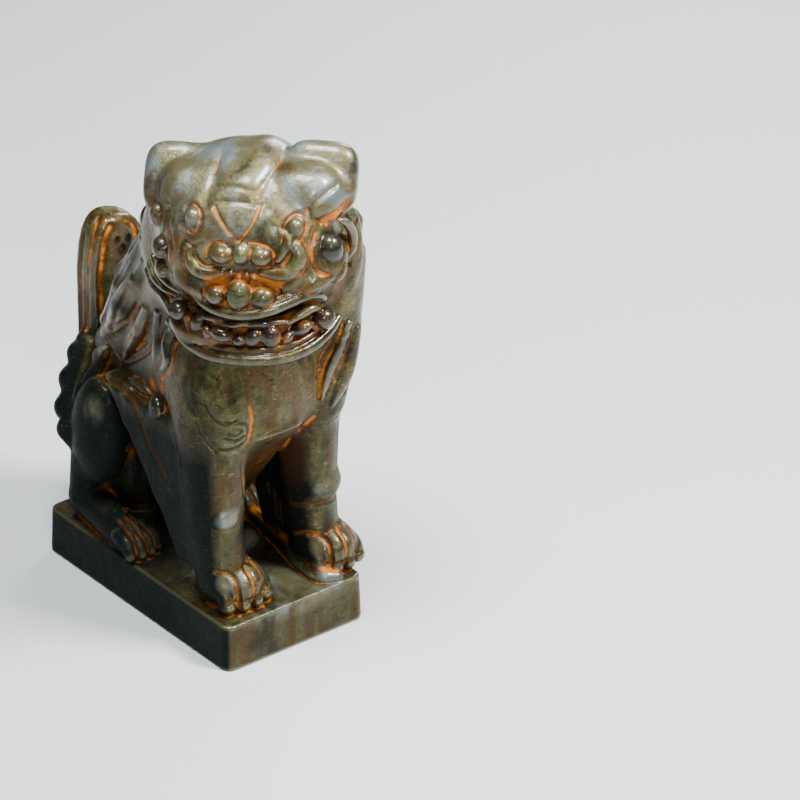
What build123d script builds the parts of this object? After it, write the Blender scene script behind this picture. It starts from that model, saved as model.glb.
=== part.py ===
from build123d import *
import math
import os

# Seated guardian lion dog on a plinth, cast in hollow bronze sections that bolt and pin together.
#
# The lion faces -Y with its head turned to its own right, and +Z is up. The origin is in the middle
# of the plinth's underside. Units are millimetres. Each casting stops on a face that matches its
# neighbour's, and the bolts, pins, studs and dowels that join the castings are pieces of their own.

# ---- driving dimensions -------------------------------------------------------------------------
PLINTH_WIDTH = 168.0  # across the lion, along X, at the top
PLINTH_LENGTH = 300.0  # along the lion, along Y, at the top
PLINTH_HEIGHT = 50.0
PLINTH_CORNER = 11.0  # radius of the upright edges
PLINTH_DRAFT_DEG = 1.6  # the sides lean in towards the top
PLINTH_EDGE = 2.5  # radius of the top edges
TOP_PLATE = 9.0  # thickness of the plinth's top
WALL = 6.0  # thickness of the hollow castings
FLANGE = 8.0  # thickness of the bolted flanges
CROSS_RIB = 6.0  # thickness of the rib across the plinth's underside, flush with its rim

HEAD_TURN_DEG = -47.0  # the head's turn about Z, towards the lion's right
HEAD_AT = (0.0, -84.0)  # the axis that the head turns about
NECK_PLANE = 340.0  # the mane casting stands on the trunk at this height
MOUTH_PLANE = 386.0  # the top of the lower jaw
MOUTH_GAP = 12.0  # how far the open mouth rises over the lower jaw
LEG_PLANE = 232.0  # a foreleg meets the shoulder at this height
HIP_PLANE = 44.0  # a hind leg's inner face stands this far from the middle
TAIL_PLANE = 134.0  # the tail's joint face, along Y

LEG_X = 57.0  # half the distance between the forelegs
LEG_Y = -97.0
GROUND_WEB_BACK = -26.0  # the left foreleg's web reaches down to the plinth, back to here
GROUND_WEB = (52.0, 18.0)  # the web's inner face and its thickness
LEG_SPACE_BACK = -32.0  # the trunk is cut away for a foreleg back to here, under the shoulder
HAUNCH_X = 60.0  # half the distance between the haunches
HAUNCH_Y = 70.0
TAIL_Y = 152.0

STUD_RADIUS = 4.0  # M8
BOLT_RADIUS = 3.0  # M6
PIN_RADIUS = 4.0
FIT = 0.05  # radial clearance of every fastener in its hole

BIG = 2000.0  # side of a block that is larger than the object, for cutting with

# ---- where the fasteners go -----------------------------------------------------------------------
FOOT_STUDS = [
    (-LEG_X, LEG_Y - 4),
    (LEG_X, LEG_Y - 4),
    (-HAUNCH_X, HAUNCH_Y - 20),
    (HAUNCH_X, HAUNCH_Y - 20),
    (0.0, HAUNCH_Y + 20),
]
FOOT_STUD_TOP = 84.0
FOOT_STUD_END = 29.0
STUD_WASHER = (9.0, 2.0)  # radius and thickness
STUD_NUT = (13.0, 6.5)  # across flats and height
BOLT_HEAD = (10.0, 4.0)
BOLT_NUT = (10.0, 5.0)

NECK_CENTRE = (0.0, -76.0)
NECK_BORE = 35.0
NECK_FLANGE_RADIUS = 58.0
NECK_BOLTS = 6
NECK_CIRCLE = 46.0  # radius of the circle of neck bolts

TENON_RADIUS = 15.0
TENON_HEIGHT = 30.0
CORE_VENT_RADIUS = 8.0  # the foreleg's core leaves through its tenon
SHOULDER_PIN_Z = LEG_PLANE + 16
SHOULDER_PIN_HALF = 24.0

HEAD_PINS = [(-72, 488), (72, 488), (-72, 430), (72, 430)]  # head frame: x and z
HEAD_PIN_REACH = 14.0  # how far a pin enters each casting
JAW_PINS = [(-34, -24), (34, -24)]  # head frame: x and y
JAW_PIN_REACH = 12.0
HIP_DOWELS = [(56, 150), (88, 128)]  # y and z
HIP_REACH = 12.0
TAIL_STUD_Z = 168.0
TAIL_STUD_REACH = 20.0  # into the tail
TAIL_NUT_BACK = 22.0  # from the joint face to the nut's seat, inside the trunk


# ---- helpers ----------------------------------------------------------------------------------------
def ellipsoid(radii, at, turn=(0, 0, 0)):
    """A solid ellipsoid of those three radii, turned and then moved."""
    return Pos(*at) * Rot(*turn) * scale(Sphere(1), by=radii)


def ball(radius, at):
    return Pos(*at) * Sphere(radius)


def rod(radius, start, end):
    """A round bar from start to end."""
    a, b = Vector(*start), Vector(*end)
    middle = Plane(origin=(a + b) / 2, z_dir=b - a)
    return middle.location * Cylinder(radius, (b - a).length)


def above(height):
    """Everything over that height."""
    return Pos(0, 0, height + BIG / 2) * Box(BIG, BIG, BIG)


def below(height):
    return Pos(0, 0, height - BIG / 2) * Box(BIG, BIG, BIG)


def behind(y):
    """Everything further towards the tail than y."""
    return Pos(0, y + BIG / 2, 0) * Box(BIG, BIG, BIG)


def before(y):
    return Pos(0, y - BIG / 2, 0) * Box(BIG, BIG, BIG)


def outside(side, x):
    """Everything further from the middle than x, on one side."""
    return Pos(side * (x + BIG / 2), 0, 0) * Box(BIG, BIG, BIG)


def joined(shapes):
    """One shape from several that touch."""
    first, *rest = shapes
    return first + rest


def largest(shape):
    """The main solid of a cut, without the slivers that a cut can leave."""
    return max(shape.solids(), key=lambda s: s.volume)


def in_head(shape):
    """Carries a shape from the head's own frame, where the face looks along -Y, to the object's."""
    return Pos(HEAD_AT[0], HEAD_AT[1], 0) * Rot(0, 0, HEAD_TURN_DEG) * shape


def hexagon(size, at):
    """A nut or bolt head of size (across flats, height), standing on its place."""
    across_flats, height = size
    return Pos(*at) * extrude(RegularPolygon(across_flats / math.sqrt(3), 6), height)


def save(name, shape):
    """Writes one node as its own file. A group of pieces stays a group of separate solids."""
    solids = shape if isinstance(shape, list) else [largest(shape)]
    whole = solids[0] if len(solids) == 1 else Compound(children=solids)
    export_step(whole, f"parts/{name}.step")


# ---- outer forms, each smaller by inset where it is a casting's hollow -----------------------------
def trunk_forms(inset):
    """Chest, barrel and rump."""
    return [
        ellipsoid((84 - inset, 72 - inset, 92 - inset), (0, -74, 290)),
        ellipsoid((70 - inset, 112 - inset, 68 - inset), (0, 8, 205), (-20, 0, 0)),
        ellipsoid((62 - inset, 54 - inset, 80 - inset), (0, 88, 125)),
    ]


def shoulder(side):
    return ellipsoid((31, 44, 66), (side * LEG_X, LEG_Y + 4, 258))


def haunch(side, grow=0.0):
    radii = (29 + grow, 50 + grow, 68 + grow)
    return ellipsoid(radii, (side * HAUNCH_X, HAUNCH_Y, 156), (8, 0, 0))


def head_forms(inset):
    """Skull and muzzle, in the head's frame."""
    return [
        ellipsoid((90 - inset, 84 - inset, 84 - inset), (0, 2, 460)),
        ellipsoid((72 - inset, 60 - inset, 52 - inset), (0, -44, 430)),
    ]


def face_details():
    """Ears, eyes, nose, muzzle rolls and the balls on the upper lip, in the head's frame."""
    nose = [ball(11, (0, -92, 466)), ball(15, (-3, -92, 424))]
    paired = []
    for side in (-1, 1):
        paired.append(ellipsoid((34, 24, 40), (side * 74, -4, 512), (0, side * 28, 0)))
        paired.append(ball(11, (side * 51, -58, 492)))
        paired.append(ball(12, (side * 20, -90, 464)))
        paired.append(ellipsoid((25, 15, 13), (side * 38, -82, 446), (0, side * -24, 0)))
        paired.append(ball(10, (side * 25, -92, 420)))
    return nose + paired


def side_curls():
    """Rolled curls of the mane beside the cheeks, in the head's frame."""
    sizes = [(14, 84, -24, 480), (15, 85, -30, 448), (14, 77, -26, 416)]
    curls = []
    for side in (-1, 1):
        for r, x, y, z in sizes:
            curls.append(ellipsoid((r, r + 2, r + 1), (side * x, y, z), (0, 0, side * 65)))
    return curls


def locks():
    """Locks of the mane that hang over the shoulders and back, in the head's frame."""
    back = [ellipsoid((40, 30, 80), (0, 76, 356), (18, 0, 0))]
    for side in (-1, 1):
        back.append(ellipsoid((24, 32, 60), (side * 84, 12, 352), (6, side * -6, 0)))
        back.append(ellipsoid((26, 38, 70), (side * 58, 50, 352), (16, side * -4, 0)))
    return back


# ---- fasteners ----------------------------------------------------------------------------------------
def foot_stud(x, y):
    return rod(STUD_RADIUS, (x, y, FOOT_STUD_END), (x, y, FOOT_STUD_TOP))


def foot_stud_hole(x, y):
    """The tapped hole in a foot, a little deeper than its stud."""
    return rod(STUD_RADIUS + FIT, (x, y, PLINTH_HEIGHT - 5), (x, y, FOOT_STUD_TOP + 1))


def foot_washer(x, y):
    """A washer against the underside of the plinth's top plate."""
    radius, thickness = STUD_WASHER
    ring = Circle(radius) - Circle(STUD_RADIUS + FIT)
    return Pos(x, y, PLINTH_HEIGHT - TOP_PLATE - thickness) * extrude(ring, thickness)


def foot_nut(x, y):
    nut = hexagon(STUD_NUT, (x, y, PLINTH_HEIGHT - TOP_PLATE - STUD_WASHER[1] - STUD_NUT[1]))
    return nut - rod(STUD_RADIUS + FIT, (x, y, 0), (x, y, PLINTH_HEIGHT))


def neck_bolt_places():
    for i in range(NECK_BOLTS):
        angle = 2 * math.pi * (i + 0.5) / NECK_BOLTS
        yield (
            NECK_CENTRE[0] + NECK_CIRCLE * math.cos(angle),
            NECK_CENTRE[1] + NECK_CIRCLE * math.sin(angle),
        )


def neck_bolt(x, y):
    top = NECK_PLANE + FLANGE
    shank = rod(BOLT_RADIUS, (x, y, NECK_PLANE - FLANGE - 10), (x, y, top + 1))
    return shank + hexagon(BOLT_HEAD, (x, y, top))


def neck_nut(x, y):
    nut = hexagon(BOLT_NUT, (x, y, NECK_PLANE - FLANGE - BOLT_NUT[1]))
    return nut - rod(BOLT_RADIUS + FIT, (x, y, NECK_PLANE - 40), (x, y, NECK_PLANE))


def neck_bolt_holes():
    low, high = NECK_PLANE - 2 * FLANGE, NECK_PLANE + 2 * FLANGE
    return [rod(BOLT_RADIUS + FIT, (x, y, low), (x, y, high)) for x, y in neck_bolt_places()]


def bolt_head_room(x, y):
    """The space that a neck bolt's head and its spanner need over the flange."""
    floor = NECK_PLANE + FLANGE
    return rod(8, (x, y, floor), (x, y, floor + BOLT_HEAD[1] + 8))


def head_pin(x, z, radius=PIN_RADIUS, slack=0.0):
    reach = HEAD_PIN_REACH + slack
    return in_head(rod(radius, (x, -reach, z), (x, reach, z)))


def pin_boss(x, z):
    """The block of metal inside both castings that a head pin goes into, in the head's frame."""
    width = 40
    centre = math.copysign(abs(x) - 11 + width / 2, x)
    return Pos(centre, 0, z) * Box(width, 2 * (HEAD_PIN_REACH + WALL), 22)


def jaw_pin(x, y, radius=PIN_RADIUS, slack=0.0):
    reach = JAW_PIN_REACH + slack
    return in_head(rod(radius, (x, y, MOUTH_PLANE - reach), (x, y, MOUTH_PLANE + reach)))


def shoulder_pin(side, radius=PIN_RADIUS, slack=0.0):
    half = SHOULDER_PIN_HALF + slack
    x = side * LEG_X
    return rod(radius, (x - half, LEG_Y, SHOULDER_PIN_Z), (x + half, LEG_Y, SHOULDER_PIN_Z))


def hip_dowel(side, y, z, radius=PIN_RADIUS, slack=0.0):
    reach = HIP_REACH + slack
    x = side * HIP_PLANE
    return rod(radius, (x - reach, y, z), (x + reach, y, z))


def tail_stud(radius=STUD_RADIUS, slack=0.0):
    start = TAIL_PLANE - TAIL_NUT_BACK - STUD_NUT[1] - 3 - slack
    end = TAIL_PLANE + TAIL_STUD_REACH + slack
    return rod(radius, (0, start, TAIL_STUD_Z), (0, end, TAIL_STUD_Z))


def tail_nut():
    seat = TAIL_PLANE - TAIL_NUT_BACK
    lying = Pos(0, seat, TAIL_STUD_Z) * Rot(90, 0, 0) * hexagon(STUD_NUT, (0, 0, 0))
    return lying - tail_stud(STUD_RADIUS + FIT, 1.0)


# ---- castings -----------------------------------------------------------------------------------------
def make_plinth():
    """A block with leaning sides, open below, with a rib across the middle of its hollow."""
    spread = 2 * PLINTH_HEIGHT * math.tan(math.radians(PLINTH_DRAFT_DEG))
    foot = RectangleRounded(PLINTH_WIDTH + spread, PLINTH_LENGTH + spread, PLINTH_CORNER)
    block = extrude(foot, PLINTH_HEIGHT, taper=PLINTH_DRAFT_DEG)
    top_edges = block.edges().group_by(Axis.Z)[-1]
    block = fillet(top_edges, PLINTH_EDGE)
    width, length = PLINTH_WIDTH - 2 * WALL, PLINTH_LENGTH - 2 * WALL
    pocket = RectangleRounded(width, length, PLINTH_CORNER - WALL)
    pocket -= Rectangle(PLINTH_WIDTH, CROSS_RIB)
    block -= extrude(pocket, PLINTH_HEIGHT - TOP_PLATE)
    for x, y in FOOT_STUDS:
        block -= rod(STUD_RADIUS + FIT, (x, y, 0), (x, y, PLINTH_HEIGHT + 1))
    return block


def make_foreleg(side):
    """A shank with a paw below, a raking rear edge, and a tenon on top for the shoulder.

    The left one also has a web behind the shank that stands on the plinth.
    """
    x = side * LEG_X
    ankle = 60
    shank = Pos(x, LEG_Y, (LEG_PLANE + ankle) / 2) * Cone(25, 31, LEG_PLANE - ankle)
    paw = ellipsoid((31, 38, 26), (x, LEG_Y - 10, 68))
    toes = [ball(11, (x + k * 14, -134 + 3 * abs(k), 58)) for k in (-1.5, -0.5, 0.5, 1.5)]
    rear_edge = [(-92, 96), (-70, 80), (44, 208), (40, LEG_PLANE), (-92, LEG_PLANE)]
    rake = extrude(Plane.YZ.offset(x - 13) * Polygon(*rear_edge, align=None), 26)
    if side > 0:
        inner_face, thickness = GROUND_WEB
        web = [(-92, PLINTH_HEIGHT), (GROUND_WEB_BACK, PLINTH_HEIGHT), (GROUND_WEB_BACK, 131), (-92, 131)]
        rake += extrude(Plane.YZ.offset(inner_face) * Polygon(*web, align=None), thickness)
    rake -= trunk_skin() & behind(LEG_SPACE_BACK)
    rake -= haunch(side, 2.0)
    leg = joined([shank, paw, rake, *toes]) & below(LEG_PLANE) & above(PLINTH_HEIGHT)
    tenon_top = LEG_PLANE + TENON_HEIGHT
    leg += rod(TENON_RADIUS, (x, LEG_Y, LEG_PLANE - 1), (x, LEG_Y, tenon_top))
    core_low, core_high = 100, LEG_PLANE - 2 * FLANGE
    leg -= Pos(x, LEG_Y, (core_low + core_high) / 2) * Cone(18, 22, core_high - core_low)
    leg -= rod(CORE_VENT_RADIUS, (x, LEG_Y, core_high - 1), (x, LEG_Y, tenon_top + 1))
    leg -= shoulder_pin(side, PIN_RADIUS + FIT, 1.0)
    leg -= foot_stud_hole(x, LEG_Y - 4)
    return leg


def make_hind_leg(side):
    """A haunch with the shin folded under it and a long foot flat on the plinth."""
    x = side * HAUNCH_X
    foot = ellipsoid((26, 64, 24), (x, 56, 66))
    shin = ellipsoid((22, 30, 44), (x, 96, 96), (18, 0, 0))
    toes = [ball(9, (x + k * 11.5, -4 + 3 * abs(k), 57)) for k in (-1.5, -0.5, 0.5, 1.5)]
    leg = joined([haunch(side), shin, foot, *toes]) & above(PLINTH_HEIGHT)
    foot_depth = 44
    upper = leg & outside(side, HIP_PLANE)
    lower = leg & below(PLINTH_HEIGHT + foot_depth) & outside(side, HIP_PLANE - 10)
    leg = upper + lower
    for y, z in HIP_DOWELS:
        leg -= hip_dowel(side, y, z, PIN_RADIUS + FIT, 1.0)
    leg -= foot_stud_hole(x, HAUNCH_Y - 20)
    return leg


def make_tail(trunk):
    """An upright plume with curls at its root, on a flat joint face."""
    plume = ellipsoid((35, 26, 104), (0, TAIL_Y, 258), (-4, 0, 0))
    root = ellipsoid((44, 24, 52), (0, TAIL_Y, 168))
    curls = []
    for side in (-1, 1):
        curls.append(ball(24, (side * 30, TAIL_Y - 2, 178)))
        curls.append(ball(19, (side * 46, TAIL_Y + 2, 212)))
    tail = joined([plume, root, *curls]) & behind(TAIL_PLANE)
    return tail - tail_stud(STUD_RADIUS + FIT, 1.0) - trunk


def trunk_skin():
    """The trunk's outer surface as one filled solid."""
    skin = joined(trunk_forms(0) + [shoulder(-1), shoulder(1)])
    return skin & below(NECK_PLANE) & above(PLINTH_HEIGHT) & before(TAIL_PLANE)


def trunk_hollow():
    """The space inside the trunk. It leaves metal round the haunches, tenons, studs and tail nut."""
    hollow = joined(trunk_forms(WALL)) & below(NECK_PLANE - FLANGE)
    boss = 2 * STUD_RADIUS + WALL
    for side in (-1, 1):
        hollow -= haunch(side, WALL)
        low, high = LEG_PLANE - 20, LEG_PLANE + TENON_HEIGHT + WALL
        hollow -= rod(TENON_RADIUS + WALL, (side * LEG_X, LEG_Y, low), (side * LEG_X, LEG_Y, high))
        for y, z in HIP_DOWELS:
            hollow -= hip_dowel(side, y, z, 2 * PIN_RADIUS, WALL)
    hollow -= rod(boss, (0, HAUNCH_Y + 20, 0), (0, HAUNCH_Y + 20, FOOT_STUD_TOP + WALL))
    hollow -= rod(boss, (0, TAIL_PLANE, TAIL_STUD_Z), (0, TAIL_PLANE - TAIL_NUT_BACK, TAIL_STUD_Z))
    return hollow & before(TAIL_PLANE - WALL)


def make_trunk(hind_legs):
    """Chest, back and rump in one shell, with seats for the legs and a flange at the neck."""
    trunk = trunk_skin() - trunk_hollow()
    for side in (-1, 1):
        leg_space = Box(70, 2 * (LEG_SPACE_BACK - LEG_Y), 200)
        trunk -= Pos(side * LEG_X, LEG_Y, LEG_PLANE - 100) * leg_space
        tenon_top = LEG_PLANE + TENON_HEIGHT + 1
        socket = TENON_RADIUS + 0.2
        trunk -= rod(socket, (side * LEG_X, LEG_Y, LEG_PLANE - 1), (side * LEG_X, LEG_Y, tenon_top))
        trunk -= shoulder_pin(side, PIN_RADIUS + FIT, 1.0)
        for y, z in HIP_DOWELS:
            trunk -= hip_dowel(side, y, z, PIN_RADIUS + FIT, 1.0)
    for leg in hind_legs:
        trunk -= leg
    neck = (NECK_CENTRE[0], NECK_CENTRE[1], NECK_PLANE - 2 * FLANGE)
    trunk -= rod(NECK_BORE, neck, (NECK_CENTRE[0], NECK_CENTRE[1], NECK_PLANE + 1))
    for hole in neck_bolt_holes():
        trunk -= hole
    trunk -= foot_stud_hole(*FOOT_STUDS[4])
    trunk -= tail_stud(STUD_RADIUS + FIT, 1.0)
    return trunk


def make_mane(trunk_outside):
    """The back of the head and the mane, open in front for the face, flanged at the neck."""
    skin = joined([ellipsoid((106, 82, 104), (0, 14, 442)), *locks()]) & behind(0)
    hollow = ellipsoid((97, 74, 95), (0, 14, 442)) & above(NECK_PLANE + FLANGE)
    for x, z in HEAD_PINS:
        hollow -= pin_boss(x, z)
    mane = in_head(skin - hollow) - trunk_outside
    neck_x, neck_y = NECK_CENTRE
    mane += rod(
        NECK_FLANGE_RADIUS,
        (neck_x, neck_y, NECK_PLANE),
        (neck_x, neck_y, NECK_PLANE + FLANGE),
    )
    mane -= rod(NECK_BORE, (neck_x, neck_y, NECK_PLANE - 1), (neck_x, neck_y, NECK_PLANE + 20))
    for hole in neck_bolt_holes():
        mane -= hole
    for x, y in neck_bolt_places():
        mane -= bolt_head_room(x, y)
    for x, z in HEAD_PINS:
        mane -= head_pin(x, z, PIN_RADIUS + FIT, 1.0)
    return mane


def make_head():
    """The face: a mask from the skull's crown to the roof of the mouth, open at the back."""
    skin = joined(head_forms(0) + face_details() + side_curls())
    skin = skin & before(0) & above(MOUTH_PLANE)
    hollow = joined(head_forms(WALL)) & above(MOUTH_PLANE + MOUTH_GAP + WALL)
    for x, z in HEAD_PINS:
        hollow -= pin_boss(x, z)
    head = skin - hollow
    gap = Pos(0, -40 - BIG / 2, MOUTH_PLANE + MOUTH_GAP / 2) * Box(BIG, BIG, MOUTH_GAP)
    head = in_head(head - gap)
    for x, z in HEAD_PINS:
        head -= head_pin(x, z, PIN_RADIUS + FIT, 1.0)
    for x, y in JAW_PINS:
        head -= jaw_pin(x, y, PIN_RADIUS + FIT, 1.0)
    return head


def make_lower_jaw():
    """The chin with its lip, teeth and the balls at the mouth's corners, over the neck flange."""
    floor = NECK_PLANE + FLANGE
    chin = ellipsoid((68, 54, 44), (0, -40, 382)) & below(MOUTH_PLANE) & above(floor + 0.5)
    chin = chin & before(-4)
    teeth = [ball(6, (x, -84 + 0.011 * x * x, MOUTH_PLANE)) for x in range(-38, 39, 19)]
    corners = [ball(9, (side * 60, -62, MOUTH_PLANE)) for side in (-1, 1)]
    throat = rod(16, (0, -30, floor), (0, -30, MOUTH_PLANE - WALL))
    jaw = joined([chin, *teeth, *corners]) - throat
    jaw = in_head(jaw)
    for x, y in neck_bolt_places():
        jaw -= bolt_head_room(x, y)
    for x, y in JAW_PINS:
        jaw -= jaw_pin(x, y, PIN_RADIUS + FIT, 1.0)
    return jaw


# ---- the whole object --------------------------------------------------------------------------------
def build():
    sides = {"right": -1, "left": 1}
    hind_legs = {name: largest(make_hind_leg(side)) for name, side in sides.items()}
    skin = trunk_skin()
    trunk = largest(make_trunk(list(hind_legs.values())))
    save("plinth", make_plinth())
    save("trunk", trunk)
    save("tail", make_tail(skin))
    save("mane", make_mane(skin))
    save("head", make_head())
    save("lower_jaw", make_lower_jaw())
    for name, side in sides.items():
        save(f"{name}_foreleg", make_foreleg(side))
        save(f"{name}_hind_leg", hind_legs[name])
    save("foot_studs", [foot_stud(x, y) for x, y in FOOT_STUDS])
    save("foot_washers", [foot_washer(x, y) for x, y in FOOT_STUDS])
    save("foot_nuts", [foot_nut(x, y) for x, y in FOOT_STUDS])
    save("neck_bolts", [neck_bolt(x, y) for x, y in neck_bolt_places()])
    save("neck_nuts", [neck_nut(x, y) for x, y in neck_bolt_places()])
    save("head_pins", [head_pin(x, z) for x, z in HEAD_PINS])
    save("jaw_pins", [jaw_pin(x, y) for x, y in JAW_PINS])
    save("shoulder_pins", [shoulder_pin(side) for side in sides.values()])
    save("hip_dowels", [hip_dowel(side, y, z) for side in sides.values() for y, z in HIP_DOWELS])
    save("tail_stud", tail_stud())
    save("tail_nut", tail_nut())


os.makedirs("parts", exist_ok=True)
build()
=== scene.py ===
import itertools
import math

import bpy
import numpy as np
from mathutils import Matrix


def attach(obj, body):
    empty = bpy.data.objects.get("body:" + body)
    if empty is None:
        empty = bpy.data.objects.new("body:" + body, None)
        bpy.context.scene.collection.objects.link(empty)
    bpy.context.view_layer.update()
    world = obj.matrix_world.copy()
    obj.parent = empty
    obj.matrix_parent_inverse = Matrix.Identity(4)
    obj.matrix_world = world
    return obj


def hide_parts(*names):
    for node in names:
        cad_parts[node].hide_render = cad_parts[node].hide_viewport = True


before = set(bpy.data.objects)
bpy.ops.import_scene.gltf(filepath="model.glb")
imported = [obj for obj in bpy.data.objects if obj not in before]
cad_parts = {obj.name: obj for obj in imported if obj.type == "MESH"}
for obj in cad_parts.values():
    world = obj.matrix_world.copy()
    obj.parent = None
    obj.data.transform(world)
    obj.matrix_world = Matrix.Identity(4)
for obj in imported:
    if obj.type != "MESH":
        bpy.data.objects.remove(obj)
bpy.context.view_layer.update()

import openvdb
from mathutils import Vector

# Everything here is in millimetres, in the CAD's frame, until a mesh is made.
STEP = 1.4  # spacing of the sculpting grid
REACH = 10.0  # how far past a form its distance is worked out
FAR = 40.0  # the distance that stands for empty space
TOUCHING = 0.05  # a ray this near has met the clay
RAY_LENGTH = 260
MM_PER_METRE = 1000
HEAD_TURN = -48  # degrees about Z, towards the lion's right
HEAD_AT = np.array([0.0, -84.0, 0.0])  # the axis that the head turns about
LEG_X = 57.0  # the forelegs stand this far from the middle
HIND_X = 62.0  # and the hind legs this far
PLINTH_HALF = (84.0, 150.0)
PLINTH_HEIGHT = 50.0
PLINTH_CORNER = 11.0
PLINTH_EDGE = 2.2
PLINTH_LEAN = math.tan(math.radians(1.6))
BAY_HALF_WIDTH, BAY_END, BAY_ROOF = 78, 144, 41  # the two bays under the plinth
RIB_HALF = 3  # half the thickness of the rib between them
CASTINGS = ["plinth", "trunk", "mane", "head", "lower_jaw", "left_foreleg", "right_foreleg",
            "left_hind_leg", "right_hind_leg", "tail"]


def turn_z(angle):
    c, s = math.cos(angle), math.sin(angle)
    return np.array([[c, -s, 0], [s, c, 0], [0, 0, 1.0]])


HEAD = turn_z(math.radians(HEAD_TURN))
INWARD = HEAD @ np.array([0, 1.0, 0])  # into the face


def rotation(degrees):
    """The matrix of turns about X, then Y, then Z."""
    x, y, z = (math.radians(a) for a in degrees)
    rx = np.array([[1, 0, 0], [0, math.cos(x), -math.sin(x)], [0, math.sin(x), math.cos(x)]])
    ry = np.array([[math.cos(y), 0, math.sin(y)], [0, 1, 0], [-math.sin(y), 0, math.cos(y)]])
    return turn_z(z) @ ry @ rx


def to_head(points):
    """Points in the head's own frame, where the face looks along -Y, carried to the object's."""
    return np.asarray(points, float) @ HEAD.T + HEAD_AT


def smooth_path(points, per=6):
    """A Catmull-Rom line through the points, each a position with a radius."""
    p = np.asarray(points, float)
    if len(p) < 3:
        return p
    ends = np.vstack([2 * p[0] - p[1], p, 2 * p[-1] - p[-2]])
    t = np.linspace(0, 1, per, endpoint=False)[:, None]
    runs = []
    for a, b, c, d in zip(ends, ends[1:], ends[2:], ends[3:]):
        runs.append(0.5 * (2 * b + (c - a) * t + (2 * a - 5 * b + 4 * c - d) * t ** 2
                           + (3 * b - a - 3 * c + d) * t ** 3))
    return np.vstack(runs + [p[-1:]])


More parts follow.
